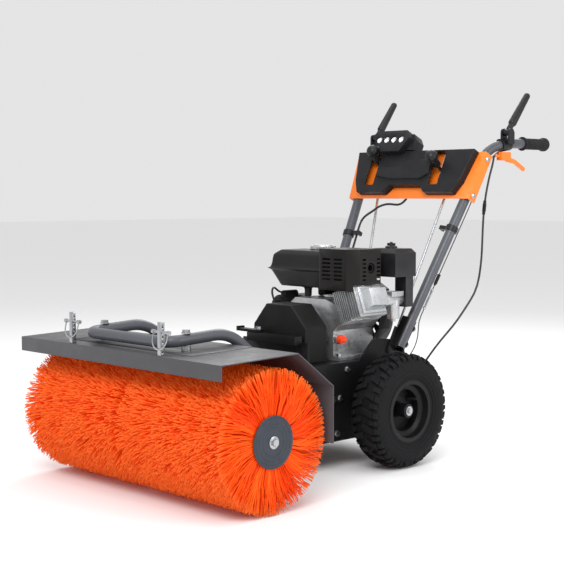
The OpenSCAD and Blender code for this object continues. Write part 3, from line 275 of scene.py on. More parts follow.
def tyre_rubber():
    """Dull black rubber with a little dust."""
    s = Surface("tyre_rubber", 0.66, specular=0.16)
    dust = s.noise(30, 8, 0.7)
    s.colour(s.blend(s.spread(dust, 0.0, 0.4, 0.45, 0.75), (0.007, 0.0072, 0.008), (0.02, 0.0205, 0.022)))
    s.roughness(s.spread(dust, 0.6, 0.88))
    s.bump(s.noise(500, 5, 0.6), 0.00012)
    return s.material


def bristle_plastic():
    """Orange filament with a faint painted glow: each tuft has its own tone, the tips are lighter and
    painted shade darkens the roots.
    """
    s = Surface("bristle_plastic", 0.5, specular=0.2)
    # Painted glow: a faint orange emission lifts the bristles, which are no lamp.
    s.shader.inputs["Emission Color"].default_value = (1.0, 0.1, 0.0, 1)
    s.shader.inputs["Emission Strength"].default_value = 0.07
    along = s.read("along")
    oranges = [(0.0, (1.0, 0.05, 0.0)), (0.5, (1.0, 0.088, 0.001)), (1.0, (1.0, 0.15, 0.006))]
    base = s.ramp(s.read("tone"), oranges)
    tipped = s.blend(s.spread(along, 0, 0.55, 0.86, 1.0), base, (1.0, 0.24, 0.04))
    # Painted shade: the filaments darken towards their roots, where they crowd together inside the brush.
    painted_root_shade = s.blend(s.spread(along, 0.5, 0, 0.0, 0.3), tipped, (0.8, 0.025, 0.0))
    s.colour(painted_root_shade)
    s.roughness(s.spread(s.noise(200, 3), 0.44, 0.6))
    s.bump(s.noise(3000, 2), 0.00002)
    return s.material


def lamp_glass():
    """A bright faceted reflector behind clear plastic."""
    s = Surface("lamp_glass", 0.1, metallic=0.55, coat=1.0, coat_rough=0.03, specular=0.8)
    s.colour(s.ramp(s.noise(60), [(0.3, (0.92, 0.94, 0.96)), (0.7, (1, 1, 1))]))
    s.bump(s.cells(420), 0.0003)
    return s.material


def cable_jacket():
    """The smooth black sleeve of the cables."""
    s = Surface("cable_jacket", 0.45, specular=0.4)
    s.colour(s.ramp(s.noise(50), [(0.3, (0.012, 0.012, 0.013)), (0.7, (0.03, 0.03, 0.032))]))
    s.bump(s.noise(1500, 3), 0.00004)
    return s.material


HOOD = painted(
    "anthracite_coat", (0.058, 0.057, 0.062), (0.07, 0.069, 0.075), 0.4,
    grain=1100, grain_depth=0.00005,
)
TUBE = painted("tube_coat", (0.07, 0.075, 0.088), (0.085, 0.09, 0.104), 0.33, coat=0.15, grain=1200)
BLACK = painted(
    "black_coat", (0.006, 0.006, 0.0065), (0.0095, 0.0095, 0.0105), 0.36,
    coat=0.05, grain=900, specular=0.16,
)
COVER = painted(
    "cover_coat", (0.0075, 0.0072, 0.007), (0.012, 0.0115, 0.011), 0.48,
    grain=700, grain_depth=0.0001, specular=0.18,
)
GLOSS = painted(
    "tank_enamel", (0.008, 0.008, 0.0085), (0.0115, 0.0115, 0.012), 0.4,
    grain=600, specular=0.24, dusty=0.05,
)
GUARD = painted(
    "guard_enamel", (0.0085, 0.0074, 0.0068), (0.0125, 0.011, 0.01), 0.36,
    grain=600, grain_depth=0.00008, specular=0.2, dusty=0.05,
)
ORANGE = painted("orange_coat", (1.0, 0.2, 0.012), (1.0, 0.23, 0.02), 0.34, coat=0.3, grain=1000)
DISC = painted("disc_paint", (0.016, 0.022, 0.034), (0.024, 0.032, 0.048), 0.36, coat=0.2, grain=500)
ZINC = plated("zinc_plate", (0.4, 0.42, 0.44), (0.52, 0.53, 0.54), 0.28)
STEEL = plated("bare_steel", (0.28, 0.28, 0.285), (0.38, 0.375, 0.37), 0.36)
ALLOY = cast("cast_alloy", (0.5, 0.51, 0.52), (0.62, 0.63, 0.64), 0.36)
BRIGHT = cast("bright_alloy", (0.64, 0.66, 0.68), (0.7, 0.72, 0.74), 0.3, grain=900, depth=0.000002)
PLASTIC = plastic("grained_plastic", (0.0085, 0.009, 0.0105), 0.42, specular=0.24)
SMOOTH = plastic("smooth_plastic", (0.007, 0.0075, 0.0085), 0.36, grain=900, depth=0.00002)
RUBBER = plastic("soft_rubber", (0.008, 0.008, 0.009), 0.62, grain=1800, specular=0.3)
RED = plastic("red_plastic", (0.85, 0.06, 0.012), 0.36, grain=900, depth=0.00002)
TYRE = tyre_rubber()
BRISTLE = bristle_plastic()
GLASS = lamp_glass()
JACKET = cable_jacket()

FINISH = {
    "main_frame": BLACK, "bearings": STEEL, "belt_cover": COVER, "swivel_bracket": BLACK,
    "frame_bolts": ZINC, "handle_tubes": TUBE, "handle_brackets": BLACK, "grips": RUBBER,
    "lever_clamps": SMOOTH, "console_bracket": ORANGE, "console_cover": PLASTIC,
    "headlight": PLASTIC, "headlight_leds": GLASS, "cable_clips": SMOOTH, "trigger_bracket": ORANGE,
    "cables": JACKET, "crankcase": ALLOY, "cylinder_head": ALLOY, "valve_cover": BRIGHT,
    "muffler_guard": GUARD, "muffler": BLACK, "fuel_tank": GLOSS, "air_filter": SMOOTH,
    "carburettor": ALLOY, "blower_housing": GLOSS, "starter_motor": BLACK, "transmission": BLACK,
    "drive_belts": RUBBER, "hood": HOOD, "head_frame": TUBE, "head_bolts": ZINC,
    "collector_posts": ZINC, "brush_gearbox": ALLOY, "lock_pin_left": ZINC, "lock_pin_right": ZINC,
    "bristles": BRISTLE, "brush_core": STEEL, "brush_discs": DISC, "worm_shaft": STEEL,
    "drive_shaft": STEEL, "travel_pulley": STEEL, "crankshaft": STEEL, "tyre_left": TYRE,
    "tyre_right": TYRE, "rim_left": BLACK, "rim_right": BLACK, "axle_left": ZINC,
    "axle_right": ZINC, "fuel_cap": ZINC, "oil_cap": RED, "clutch_lever_left": SMOOTH,
    "clutch_lever_right": SMOOTH, "shift_lever_left": SMOOTH, "shift_lever_right": SMOOTH,
    "shift_rod_left": ZINC, "shift_rod_right": ZINC, "trigger": ORANGE, "latch_lever": BLACK,
    "recoil_handle": SMOOTH, "recoil_rope": RUBBER,
}
BODY = {node: body for body, nodes in frame["record"]["behaviour"]["bodies"].items() for node in nodes}


def dress(node, material):
    """Gives a CAD node its finish."""
    data = frame["nodes"][node].data
    if not data.materials:
        data.materials.append(material)
    for i in range(len(data.materials)):
        data.materials[i] = material


# ------------------------------------------------------------------ pieces


def piece(name, mesh, material, body, replaces=(), smooth=True):
    """A finished mesh as a piece that rides on a body."""
    obj = bpy.data.objects.new(name, mesh)
    bpy.context.scene.collection.objects.link(obj)
    if not mesh.materials:
        mesh.materials.append(material)
    if smooth:
        mesh.shade_smooth()
    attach(obj, body)
    if replaces:
        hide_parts(*replaces)
    return obj


def apply_modifiers(obj):
    """Puts the object's modifiers into its mesh."""
    depsgraph = bpy.context.evaluated_depsgraph_get()
    mesh = bpy.data.meshes.new_from_object(obj.evaluated_get(depsgraph))
    obj.modifiers.clear()
    obj.data = mesh


def copied(node):
    """A copy of a CAD node's mesh, with its doubled vertices merged and no material."""
    mesh = cleaned(frame["nodes"][node].data.copy(), outward=False)
    mesh.materials.clear()
    return mesh


def shape_of(node, mesh):
    """That mesh as the piece which replaces the CAD node, in the node's own finish."""
    return piece(node + "_shape", mesh, FINISH[node], BODY[node], (node,))


def rounded(node, width):
    """A copy of a CAD node with rounded edges, which replaces it."""
    mesh = copied(node)
    bm = bmesh.new()
    bm.from_mesh(mesh)
    nearly_flat = math.radians(0.4)
    flat = [e for e in bm.edges if len(e.link_faces) == 2 and e.calc_face_angle(3) < nearly_flat]
    bmesh.ops.dissolve_edges(bm, edges=flat, use_verts=True, use_face_split=False)
    bm.to_mesh(mesh)
    bm.free()
    obj = shape_of(node, mesh)
    bevel = obj.modifiers.new("edges", "BEVEL")
    bevel.width = width
    bevel.segments = 2
    bevel.limit_method = "ANGLE"
    bevel.angle_limit = math.radians(32)
    bevel.use_clamp_overlap = True
    bevel.harden_normals = True
    apply_modifiers(obj)


def smoothed(node):
    """A copy of a round CAD node, shaded smooth, which replaces it."""
    shape_of(node, smooth_by_angle(copied(node), 30))


def moulded(node, voxel, rounds):
    """A copy of a cast or moulded CAD node with its corners flowed together, which replaces it."""
    mesh = frame["nodes"][node].data.copy()
    mesh.materials.clear()
    obj = shape_of(node, mesh)
    remesh = obj.modifiers.new("skin", "REMESH")
    remesh.mode = "VOXEL"
    remesh.voxel_size = voxel
    remesh.use_smooth_shade = True
    soften = obj.modifiers.new("soften", "SMOOTH")
    soften.factor = 0.5
    soften.iterations = rounds
    apply_modifiers(obj)
    if not obj.data.materials:
        obj.data.materials.append(FINISH[node])


def cleaned(mesh, merge=True, outward=True):
    """The mesh with its doubled vertices merged and its faces turned outward."""
    bm = bmesh.new()
    bm.from_mesh(mesh)
    if merge:
        bmesh.ops.remove_doubles(bm, verts=bm.verts, dist=MERGE)
    if outward:
        bmesh.ops.recalc_face_normals(bm, faces=bm.faces)
    bm.to_mesh(mesh)
    bm.free()
    return mesh


def mesh_from(name, verts, faces):
    """A mesh of those points and faces."""
    mesh = bpy.data.meshes.new(name)
    mesh.from_pydata([tuple(v) for v in verts], [], faces)
    mesh.update()
    return mesh


def tube_mesh(name, path, radius, sides=16):
    """A round tube with closed ends along a list of points."""
    count = len(path)
    tangents = []
    for i in range(count):
        a, b = path[max(i - 1, 0)], path[min(i + 1, count - 1)]
        tangents.append((b - a).normalized())
    side = tangents[0].orthogonal().normalized()
    verts, faces = [], []
    for p, t in zip(path, tangents):
        side = (side - t * side.dot(t)).normalized()
        other = t.cross(side)
        for k in range(sides):
            a = math.tau * k / sides
            verts.append(p + radius * (math.cos(a) * side + math.sin(a) * other))
    for i in range(count - 1):
        j = i + 1
        for k in range(sides):
            m = (k + 1) % sides
            faces.append((i * sides + k, i * sides + m, j * sides + m, j * sides + k))
    faces.append(tuple(range(sides - 1, -1, -1)))
    faces.append(tuple(range((count - 1) * sides, count * sides)))
    return mesh_from(name, verts, faces)


def turned(name, profile, axis, place, segments=64):
    """A turned mesh: profile is (radius, offset along the axis) from one end to the other."""
    verts, faces = [], []
    count = len(profile)
    for i in range(segments):
        a = math.tau * i / segments
        for r, z in profile:
            verts.append(Vector((r * math.cos(a), r * math.sin(a), z)))
    for i in range(segments):
        j = (i + 1) % segments
        for k in range(count - 1):
            faces.append((i * count + k, j * count + k, j * count + k + 1, i * count + k + 1))
    turn = Vector((0, 0, 1)).rotation_difference(Vector(axis)).to_matrix()
    return cleaned(mesh_from(name, [turn @ v + Vector(place) for v in verts], faces))


def joined(name, meshes):
    """Several meshes as one."""
    verts, faces = [], []
    for mesh in meshes:
        start = len(verts)
        verts += [v.co.copy() for v in mesh.vertices]
        faces += [tuple(start + i for i in polygon.vertices) for polygon in mesh.polygons]
    return mesh_from(name, verts, faces)


def smooth_by_angle(mesh, angle=35):
    """Smooth shading that keeps edges sharper than the angle."""
    mesh.shade_smooth()
    bm = bmesh.new()
    bm.from_mesh(mesh)
    for edge in bm.edges:
        edge.smooth = len(edge.link_faces) != 2 or edge.calc_face_angle(0) < math.radians(angle)
    bm.to_mesh(mesh)
    bm.free()
    return mesh


def bead(radius, offset, thick):
    """The profile of a round bead at that radius and offset, for turned()."""
    turns = np.linspace(0, math.tau, 9)
    return [(radius + thick * math.cos(b), offset + thick * math.sin(b)) for b in turns]


# ------------------------------------------------------------------ brush


TUFT_ROWS, TUFTS_ROUND, PER_TUFT = 30, 42, 12  # in each half of the brush
BENDS, SIDES = 3, 3  # points along a filament and corners round it
ROOT_R = 0.034
FILAMENT_R = 0.00112
MIDDLE_CLEAR = 0.0125  # filaments stay this far from the middle plane, off the worm shaft
END_CLEAR = 0.0005


def filament_lines(rng, x0, x1):
    """Middle lines of one half's filaments, the direction round the axis at each point, and tones."""
    low, high = box("bristles")
    axis_y, axis_z = (low.y + high.y) / 2, (low.z + high.z) / 2
    tip_r = (high.z - low.z) / 2
    tufts = TUFT_ROWS * TUFTS_ROUND
    strands = tufts * PER_TUFT
    row = np.repeat(np.arange(TUFT_ROWS), TUFTS_ROUND * PER_TUFT)
    slot = np.tile(np.repeat(np.arange(TUFTS_ROUND), PER_TUFT), TUFT_ROWS)
    tuft = row * TUFTS_ROUND + slot
    outward = np.sign(x1)
    inner, outer = min(abs(x0), abs(x1)), max(abs(x0), abs(x1))
    # Tufts stagger from row to row, and each leans a little along and around the tube
    base_x = x0 + (x1 - x0) * (row + 0.5) / TUFT_ROWS
    angle = math.tau * (slot + 0.5 * (row % 2)) / TUFTS_ROUND
    lean_x = rng.normal(0, 0.11, tufts)[tuft]
    lean_a = rng.normal(0, 0.07, tufts)[tuft]
    # The rows next to the gearbox lean in over it, and the outer ones splay past the disc
    end = np.clip((base_x - (x0 + x1) / 2) / ((x1 - x0) / 2), -1, 1)
    near = np.clip(1 - (np.abs(base_x) - inner) / 0.13, 0, 1)
    past_disc = np.where(end * outward > 0, np.abs(end) ** 6, 0) * outward * 0.012
    splay = -outward * near**1.5 * inner + past_disc
    stray_x = rng.normal(0, 0.08, strands)
    end_row = np.abs(row - (TUFT_ROWS - 1) / 2) > TUFT_ROWS / 2 - 1.6
    stray_a = rng.normal(0, 0.05, strands) * (1 + 1.2 * end_row)
    short = np.abs(rng.normal(0, 0.03, strands)) + np.abs(rng.normal(0, 0.02, tufts))[tuft]
    length = (tip_r - ROOT_R) * np.clip(1 - short, 0.82, 1)
    curl = rng.normal(0.13, 0.06, strands)
    tone = np.clip(0.5 + rng.normal(0, 0.22, tufts)[tuft] + rng.normal(0, 0.12, strands), 0, 1)
    t = np.linspace(0, 1, BENDS)
    reach = ROOT_R + length[:, None] * t
    turn = angle[:, None] + (lean_a + stray_a)[:, None] * t + curl[:, None] * t**2
    root_x = base_x[:, None] + rng.uniform(-0.002, 0.002, strands)[:, None]
    x = root_x + (lean_x + stray_x)[:, None] * length[:, None] * t
    x = outward * np.clip(outward * (x + splay[:, None] * t), MIDDLE_CLEAR, outer - END_CLEAR)
    middle = np.stack([x, axis_y + reach * np.cos(turn), axis_z + reach * np.sin(turn)], -1)
    around = np.stack([np.zeros_like(turn), -np.sin(turn), np.cos(turn)], -1)
    return middle, around, tone


def bristle_half(name, x0, x1, seed):
    """Tufts of filaments set in rings on the sleeve, each leaning and fanning its own way."""
    rng = np.random.default_rng(seed)
    middle, around, tone = filament_lines(rng, x0, x1)
    strands = len(tone)
    along = np.array([1.0, 0.0, 0.0])
    phase = rng.uniform(0, math.tau, strands)
    width = FILAMENT_R * rng.uniform(0.85, 1.2, strands)
    corners = []
    for k in range(SIDES):
        a = phase + math.tau * k / SIDES
        offset = np.cos(a)[:, None, None] * around + np.sin(a)[:, None, None] * along
        corners.append(middle + width[:, None, None] * offset)
    verts = np.stack(corners, 2).reshape(-1, 3)
    index = np.arange(strands)[:, None] * BENDS * SIDES
    faces = []
    for b in range(BENDS - 1):
        for k in range(SIDES):
            m = (k + 1) % SIDES
            quad = [b * SIDES + k, b * SIDES + m, (b + 1) * SIDES + m, (b + 1) * SIDES + k]
            faces.append(index + np.array(quad)[None, :])
    quads = np.concatenate(faces)
    tips = index + np.array([(BENDS - 1) * SIDES + k for k in range(SIDES)])[None, :]
    mesh = bpy.data.meshes.new(name)
    mesh.vertices.add(len(verts))
    mesh.vertices.foreach_set("co", verts.astype(np.float32).ravel())
    loops = np.concatenate([quads.ravel(), tips.ravel()])
    starts = np.concatenate([np.arange(len(quads)) * 4, len(quads) * 4 + np.arange(len(tips)) * 3])
    mesh.loops.add(len(loops))
    mesh.loops.foreach_set("vertex_index", loops.astype(np.int32))
    mesh.polygons.add(len(starts))
    mesh.polygons.foreach_set("loop_start", starts.astype(np.int32))
    mesh.update(calc_edges=True)
    t = np.broadcast_to(np.linspace(0, 1, BENDS), (strands, BENDS)).ravel()
    for label, values in (("tone", np.repeat(tone, BENDS * SIDES)), ("along", np.repeat(t, SIDES))):
        attribute = mesh.attributes.new(label, "FLOAT", "POINT")
        attribute.data.foreach_set("value", values.astype(np.float32))
    return mesh


def make_brush():
    """Both halves of the brush, each on the sleeve that its filaments leave."""
    low, high = box("bristles")
    gearbox_gap = 0.004
    inner = box("brush_gearbox")[1].x + gearbox_gap
    y, z = (low.y + high.y) / 2, (low.z + high.z) / 2
    halves = (("left", 1, 11), ("right", -1, 23))
    for name, side, seed in halves:
        mesh = bristle_half("bristles_" + name, side * inner, side * high.x, seed)
        piece("bristles_" + name, mesh, BRISTLE, "brush", ("bristles",), smooth=False)
    reach = high.x - inner
    profile = [(0.0305, 0), (0.036, 0), (0.036, reach), (0.0305, reach)]
    for name, side, _ in halves:
        sleeve = turned("bristle_sleeve", profile, (side, 0, 0), (side * inner, y, z))
        piece("bristle_sleeve_" + name, smooth_by_angle(sleeve), BRISTLE, "brush")


# ------------------------------------------------------------------ wheels


LUG = 0.0095  # height of the tread lugs
PITCHES = 21  # lugs round the tyre on each side


def tread_mesh():
    """A snow tyre about its own middle: a rounded casing with V-shaped lugs and shoulder blocks."""
    low, high = box("tyre_left")
    outer = (high.z - low.z) / 2
    half = (high.x - low.x) / 2
    casing = outer - LUG
    section = [
        (0.0776, 0.037), (0.0795, 0.0395), (0.088, 0.0425), (0.096, 0.0465), (0.106, 0.0495),
        (0.116, 0.0505), (0.126, 0.0495), (0.135, 0.0465), (0.1415, 0.041), (0.1455, 0.034),
        (casing - 0.0008, 0.024), (casing, 0.012), (casing, 0),
    ]
    section = [(r, min(x, half - 0.003)) for r, x in section]
    profile = section + [(r, -x) for r, x in section[-2::-1]]
    inside = [(0.0776, 0.028), (0.1, 0.038), (0.132, 0.03)]
    inner = [(r, -x) for r, x in inside] + inside[::-1]
    parts = [turned("casing", profile + inner + [profile[0]], (1, 0, 0), (0, 0, 0), 96)]

    def surface(x):
        """Casing radius at an offset from the middle."""
        points = sorted((px, r) for r, px in section if r > 0.11)
        x = abs(x)
        for (x0, r0), (x1, r1) in zip(points, points[1:]):
            if x0 <= x <= x1 and x1 > x0:
                return r0 + (r1 - r0) * (x - x0) / (x1 - x0)
        return points[0][1] if x < points[0][0] else points[-1][1]

    def block(corners, height, turn, side):
        """A raised lug, smaller at the top: corners are (offset, share of a pitch) on one side."""
        outline = [(side * x, share * step) for x, share in corners]
        mid_x = sum(x for x, _ in outline) / len(outline)
        mid_a = sum(a for _, a in outline) / len(outline)
        verts = []
        for inset, lift in ((1.0, -0.004), (0.97, height * 0.8), (0.86, height)):
            for x, a in outline:
                px = mid_x + (x - mid_x) * inset
                pa = mid_a + (a - mid_a) * inset + turn
                r = min(surface(px) + lift, outer)
                verts.append((px, r * math.cos(pa), r * math.sin(pa)))
        n = len(outline)
        faces = [tuple(range(2 * n, 3 * n)), tuple(range(n - 1, -1, -1))]
        for level in range(2):
            for k in range(n):
                m = (k + 1) % n
                faces.append((level * n + k, level * n + m, (level + 1) * n + m, (level + 1) * n + k))
        return cleaned(mesh_from("lug", verts, faces), merge=False)

    # The lug from the crown back to the shoulder, the shoulder block and its side bar
    long_lug = [(0.002, -0.05), (0.016, 0.07), (0.034, 0.2), (0.034, 0.55), (0.016, 0.42), (0.002, 0.3)]
    shoulder = [(0.0365, 0.2), (0.0455, 0.24), (0.0455, 0.62), (0.0365, 0.56)]
    bar = [(0.027, -0.32), (0.0425, -0.26), (0.0425, 0.03), (0.027, -0.04)]
    step = math.tau / PITCHES
    for i in range(PITCHES):
        for side in (1, -1):
            shift = i * step + (0 if side > 0 else 0.5 * step)
            for corners, height in ((long_lug, LUG), (shoulder, LUG * 0.9), (bar, LUG * 0.95)):
                parts.append(block(corners, height, shift, side))
    return parts


def sidewall_mesh():
    """Bars and rings on the sidewalls."""
    parts = []
    bars = 42
    for side in (1, -1):
        for i in range(bars):
            a = math.tau * (i + 0.5) / bars
            wide = 0.0042 if i % 2 else 0.0062
            r0, r1 = (0.118, 0.1395) if i % 2 else (0.122, 0.1425)
            x0, x1 = 0.0505, 0.0455
            sunk, raised = -0.002, 0.0002
            verts = []
            for lift, grow in ((sunk, 1.0), (raised, 0.75)):
                for r, x, w in ((r0, x0, wide), (r0, x0, -wide), (r1, x1, -wide), (r1, x1, wide)):
                    t = w * grow
                    y, z = r * math.cos(a) - t * math.sin(a), r * math.sin(a) + t * math.cos(a)
                    verts.append((side * (x + lift), y, z))
            faces = [(4, 5, 6, 7), (3, 2, 1, 0)]
            faces += [(k, (k + 1) % 4, 4 + (k + 1) % 4, 4 + k) for k in range(4)]
            parts.append(cleaned(mesh_from("bar", verts, faces), merge=False))
        for r, x in ((0.092, 0.0452), (0.1, 0.0479), (0.1105, 0.0499)):
            parts.append(turned("ring", bead(r, x, 0.0011), (side, 0, 0), (0, 0, 0), 96))
    return parts


def make_wheels():
    """Both tyres, each with its tread and sidewalls in one mesh."""
    for tyre in ("tyre_left", "tyre_right"):
        mesh = joined(tyre + "_shape", tread_mesh() + sidewall_mesh())
        mesh.transform(Matrix.Translation(centre(tyre)))
        shape_of(tyre, smooth_by_angle(mesh, 30))


# ------------------------------------------------------------------ rounded copies

# Voxel size in metres and the rounds of smoothing
MOULDED = {
    "fuel_tank": (0.003, 20), "console_cover": (0.002, 4), "belt_cover": (0.0026, 8),
    "transmission": (0.003, 3), "brush_gearbox": (0.0025, 3), "oil_cap": (0.001, 3),
    "recoil_handle": (0.0014, 5),
}

# Sheet, cast and moulded parts and how far their edges are rounded, in metres
EDGES = {
    "hood": 0.0012, "main_frame": 0.0008, "swivel_bracket": 0.0008, "console_bracket": 0.0012,
    "muffler_guard": 0.002, "cylinder_head": 0.0012, "headlight": 0.0015, "blower_housing": 0.002,
    "valve_cover": 0.0045, "carburettor": 0.0016, "crankcase": 0.0014, "air_filter": 0.004,
    "handle_brackets": 0.0008, "clutch_lever_left": 0.0012, "clutch_lever_right": 0.0012,
    "trigger": 0.0015, "latch_lever": 0.0008, "collector_posts": 0.0006, "starter_motor": 0.002,
}
# Round parts that are only shaded smooth
ROUND = (
    "handle_tubes", "head_frame", "shift_lever_left", "shift_lever_right", "shift_rod_left",
    "shift_rod_right", "lock_pin_left", "lock_pin_right", "cables",
)

# ------------------------------------------------------------------ details


AXLE_Y = 82  # the wheel axle in the row frame, in millimetres


def machine_point(x, y, z):
    """A point given from the ground below the wheel axle, in millimetres, as metres in the row frame."""
    return Vector((x, y + AXLE_Y, z)) * MM


def mirrored(vector, side):
    """The vector itself for side 1, and its mirror image across the middle for side -1."""
    return Vector((side * vector.x, vector.y, vector.z))


def make_grips():
    """Ribbed rubber grips with a thumb flange and a domed end."""
    grips_high = box("grips")[1]
    length, end_gap = 0.112, 0.0008
    ribs, pitch = 17, 0.0046
    bore = 0.01415
    profile = [(bore, 0.0), (0.0192, 0.0), (0.0208, 0.0012), (0.0208, 0.0042)]
    profile += [(0.0192, 0.0056), (0.0165, 0.0072)]
    for k in range(ribs):
        z = 0.0095 + k * pitch
        profile += [(0.0158, z), (0.0168, z + 0.0009), (0.0168, z + 0.0026), (0.0158, z + 0.0035)]
    profile += [(0.0165, 0.0895), (0.0205, 0.0945), (0.0205, 0.1035), (0.0185, 0.1075), (0.0155, 0.1096)]
    profile += [(0.008, 0.1108), (0, 0.111), (0, 0.1092), (bore, 0.1092), (bore, 0.0)]
    parts = []
    for side in (1, -1):
        start = mirrored(machine_point(250, 470, 901), side)
        way = mirrored(Vector((15, 163, 0)).normalized(), side)
        start = start + way * ((grips_high.y - end_gap - length * way.y - start.y) / way.y)
        parts.append(turned("grip", profile, way, start, 40))
    shape_of("grips", smooth_by_angle(joined("grips_shape", parts), 40))


def make_discs():
    """End discs pressed with concentric rings, each with its washer and hexagon bolt."""
    low, high = box("brush_discs")
    brush_end = box("bristles")[1].x
    spin = centre("brush_core")
    disc_r = (high.z - low.z) / 2
    bolt_r, thick = 0.0062, 0.003
    disc_rings = []
    r = disc_r - 0.006
    while r > 0.026:
        for inward, lift in ((0, 0), (0.0012, 0.0011), (0.0036, 0.0011), (0.0048, 0)):
            disc_rings.append((r - inward, thick + lift))
        r -= 0.0105
    disc_profile = [
        (bolt_r, 0.0006), (disc_r - 0.0012, 0.0006), (disc_r, 0.0014),
        (disc_r, thick - 0.0006), (disc_r - 0.001, thick), *disc_rings,
        (0.017, thick), (bolt_r, thick), (bolt_r, 0.0006),
    ]
    seat = thick + 0.002
    washer_profile = [
        (0, thick), (0.0145, thick), (0.015, thick + 0.0004),
        (0.015, thick + 0.0016), (0.0143, seat), (0, seat),
    ]
    top = high.x - brush_end - 0.0002
    head_profile = [(0, seat), (0.0098, seat), (0.0098, top - 0.0008), (0.0088, top), (0, top)]
    for name, side in (("left", 1), ("right", -1)):
        way, place = (side, 0, 0), (side * brush_end, spin.y, spin.z)
        disc = turned("disc", disc_profile, way, place, 96)
        washer = turned("washer", washer_profile, way, place, 40)
        head = turned("head", head_profile, way, place, 6)
        bolt = smooth_by_angle(joined("bolt", [washer, head]), 30)
        piece("brush_disc_" + name, smooth_by_angle(disc, 35), DISC, "brush", ("brush_discs",))
        piece("brush_bolt_" + name, bolt, ZINC, "brush")


def make_rims():
    """Deep-dish pressed rims with rolled lips, a weld bead and a valve stem."""
    dish_x = 0.2345
    rolls = ((0.0705, 0.024), (0.0585, 0.0175))
    weld = [(0.0192, -0.0062), (0.0225, -0.0098), (0.0192, -0.0098), (0.0192, -0.0062)]
    stem_profile = [
        (0, 0), (0.0056, 0), (0.0052, 0.007), (0.0036, 0.012), (0.0034, 0.024),
        (0.0028, 0.0245), (0.0028, 0.031), (0.0022, 0.032), (0, 0.032),
    ]
    for name, side in (("left", 1), ("right", -1)):
        node = "rim_" + name
        body = "wheel_" + name
        hub = centre(node)
        shape_of(node, smooth_by_angle(copied(node), 28))
        way, place = (side, 0, 0), (side * dish_x, hub.y, hub.z)
        parts = [turned("roll", bead(r, x, 0.0013), way, place, 72) for r, x in rolls]
        parts.append(turned("weld", weld, way, place, 48))
        piece(node + "_rolls", smooth_by_angle(joined("rolls", parts), 50), BLACK, body)
        stem_place = Vector((side * (dish_x - 0.006), hub.y + 0.0405, hub.z + 0.025))
        lean = Vector((side, 0.12, 0.08)).normalized()
        stem = turned("valve", stem_profile, lean, stem_place, 20)
        piece(node + "_valve", smooth_by_angle(stem, 35), RUBBER, body)


def make_headlight():
    """Four lens bowls, each with a ring of facets round its light."""
    low, high = box("headlight_leds")
    tilt = math.radians(25)
    lens_d, proud, count = 0.0216, 0.0039, 4
    out = Vector((0, -math.cos(tilt), math.sin(tilt)))
    pitch = (high.x - low.x - lens_d) / (count - 1)
    face = centre("headlight_leds") + out * proud
    bowl = [
        (0, -0.0075), (0.0104, -0.0075), (0.0104, -0.0012), (0.0096, -0.0002), (0.0075, -0.0016),
        (0.0055, -0.0040), (0.0040, -0.0048), (0.0034, -0.0024), (0.002, -0.0010), (0, -0.0007),
    ]
    lenses = []
    for i in range(count):
        place = Vector((low.x + lens_d / 2 + i * pitch, face.y, face.z))
        lenses.append(turned("lens", bowl, out, place, 24))
    mesh = smooth_by_angle(joined("lenses", lenses), 24)
    piece("headlight_lenses", mesh, GLASS, "chassis", ("headlight_leds",))


def beside_tube(x, y, v):
    """A point beside the left handle tube: across, behind and along it from its foot, in millimetres."""
    foot = Vector((160, 85, 318))
    way = (Vector((209.5, 314.5, 734)) - foot).normalized()
    lean, splay = math.atan2(way.y, way.z), math.asin(way.x)
    a = x * math.cos(splay) + v * math.sin(splay)
    c = v * math.cos(splay) - x * math.sin(splay)
    offset = Vector((a, y * math.cos(lean) + c * math.sin(lean), c * math.cos(lean) - y * math.sin(lean)))
    return machine_point(*(foot + offset))


def coil(top, along, length, radius, turns):
    """A coil's path from the top, in the direction along."""
    across = along.orthogonal().normalized()
    other = along.cross(across)
    steps = 12
    path = []
    for k in range(turns * steps + 1):
        a = math.tau * k / steps
        centre_line = top + along * (length * k / (turns * steps))
        path.append(centre_line + radius * (math.cos(a) * across + math.sin(a) * other))
    return path


def make_cable_details():
    """Return springs and boots on the clutch wires, and the trigger cable's adjuster."""
    length = 0.058
    eye = [(0, -0.003), (0.0034, -0.003), (0.0042, -0.0015), (0.0042, 0.0015), (0.0034, 0.003), (0, 0.003)]
    ribs = [(0.0019, 0.0), (0.0042, 0.0008)]
    for k in range(7):
        z = k * 0.0042
        ribs += [(0.0052, z + 0.002), (0.0052, z + 0.0038), (0.0042, z + 0.0046), (0.0042, z + 0.0056)]
    ribs += [(0.0034, 0.034), (0.0019, 0.036), (0.0019, 0.0)]
    springs, boots, eyes = [], [], []
    for side in (1, -1):
        top = mirrored(beside_tube(14, 15, 190), side)
        along = (mirrored(beside_tube(14, 15, 100), side) - top).normalized()
        springs.append(tube_mesh("spring", coil(top, along, length, 0.0038, 17), 0.00075, 6))
        for place in (top, top + along * length):
            eyes.append(turned("eye", eye, along, place, 16))
        boots.append(turned("boot", ribs, along, top - along * 0.052, 20))
    piece("clutch_springs", smooth_by_angle(joined("springs", springs + eyes), 40), ZINC, "chassis")
    start = machine_point(240, 372, 740)
    down = (machine_point(238, 366, 680) - start).normalized()
    barrel = [(0.003, 0), (0.0045, 0.001), (0.0045, 0.009), (0.0058, 0.0105)]
    for k in range(6):
        z = k * 0.003
        barrel += [(0.0058, z + 0.012), (0.0051, z + 0.0128), (0.0051, z + 0.0138), (0.0058, z + 0.0146)]
    barrel += [(0.0058, 0.031), (0.0045, 0.033), (0.0045, 0.041), (0.003, 0.042), (0.003, 0)]
    boots.append(turned("barrel", barrel, down, start + down * 0.008, 20))
    piece("cable_boots", smooth_by_angle(joined("boots", boots), 35), RUBBER, "chassis")


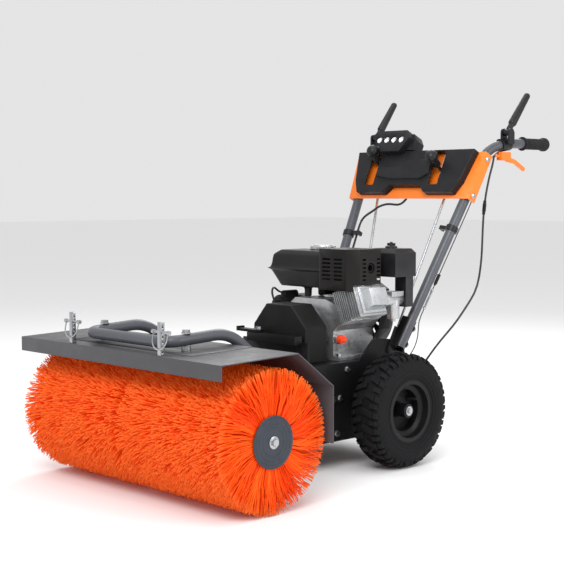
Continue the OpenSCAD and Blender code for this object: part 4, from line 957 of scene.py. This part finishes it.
def make_fuel_cap():
    """The fuel cap with its knurled skirt, on its neck."""
    low, high = box("fuel_cap")
    middle = centre("fuel_cap")
    rim_z = high.z - 0.013
    radius = (high.x - low.x) / 2
    neck_r = 0.0248
    ribs, steps_per_rib = 36, 4
    # Shares of the cap's radius, and heights
    profile = [
        (0.0, rim_z), (0.97, rim_z), (1.0, rim_z + 0.0012), (1.0, rim_z + 0.0078), (0.96, rim_z + 0.0098),
        (0.76, rim_z + 0.0102), (0.74, rim_z + 0.0125), (0.71, rim_z + 0.0129), (0.0, rim_z + 0.0129),
    ]
    count = len(profile)
    steps = ribs * steps_per_rib
    verts, faces = [], []
    for i in range(steps):
        a = math.tau * i / steps
        notch = 0.972 if i % steps_per_rib in (0, 1) else 1.0
        for share, z in profile:
            r = radius * share * (notch if share > 0.95 else 1.0)
            verts.append((middle.x + r * math.cos(a), middle.y + r * math.sin(a), z))
    for i in range(steps):
        j = (i + 1) % steps
        for k in range(count - 1):
            faces.append((i * count + k, j * count + k, j * count + k + 1, i * count + k + 1))
    cap = mesh_from("cap", verts, faces)
    neck_profile = [(0, 0), (neck_r, 0), (neck_r, rim_z - low.z), (0, rim_z - low.z)]
    neck = turned("neck", neck_profile, (0, 0, 1), (middle.x, middle.y, low.z), 40)
    mesh = cleaned(joined("fuel_cap_shape", [cap, neck]))
    shape_of("fuel_cap", smooth_by_angle(mesh, 30))


def make_rope():
    """The starter's rope, a straight tube between the housing and its handle."""
    low, high = box("recoil_rope")
    middle = centre("recoil_rope")
    ends = [Vector((middle.x, middle.y, z)) for z in (low.z, high.z)]
    steps = 12
    path = [ends[0].lerp(ends[1], i / steps) for i in range(steps + 1)]
    mesh = tube_mesh("rope", path, (high.x - low.x) / 2)
    mesh.materials.append(RUBBER)
    mesh.shade_smooth()
    rope = bpy.data.objects.new("rope", mesh)
    bpy.context.scene.collection.objects.link(rope)
    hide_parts("recoil_rope")
    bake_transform(rope)


# ------------------------------------------------------------------ the scene

for node, finish in FINISH.items():
    dress(node, finish)
for node, width in EDGES.items():
    rounded(node, width)
for node, (voxel, rounds) in MOULDED.items():
    moulded(node, voxel, rounds)
for node in ROUND:
    smoothed(node)
make_brush()
make_wheels()
make_rims()
make_discs()
make_grips()
make_headlight()
make_cable_details()
make_fuel_cap()
make_rope()

make_camera()
make_studio()
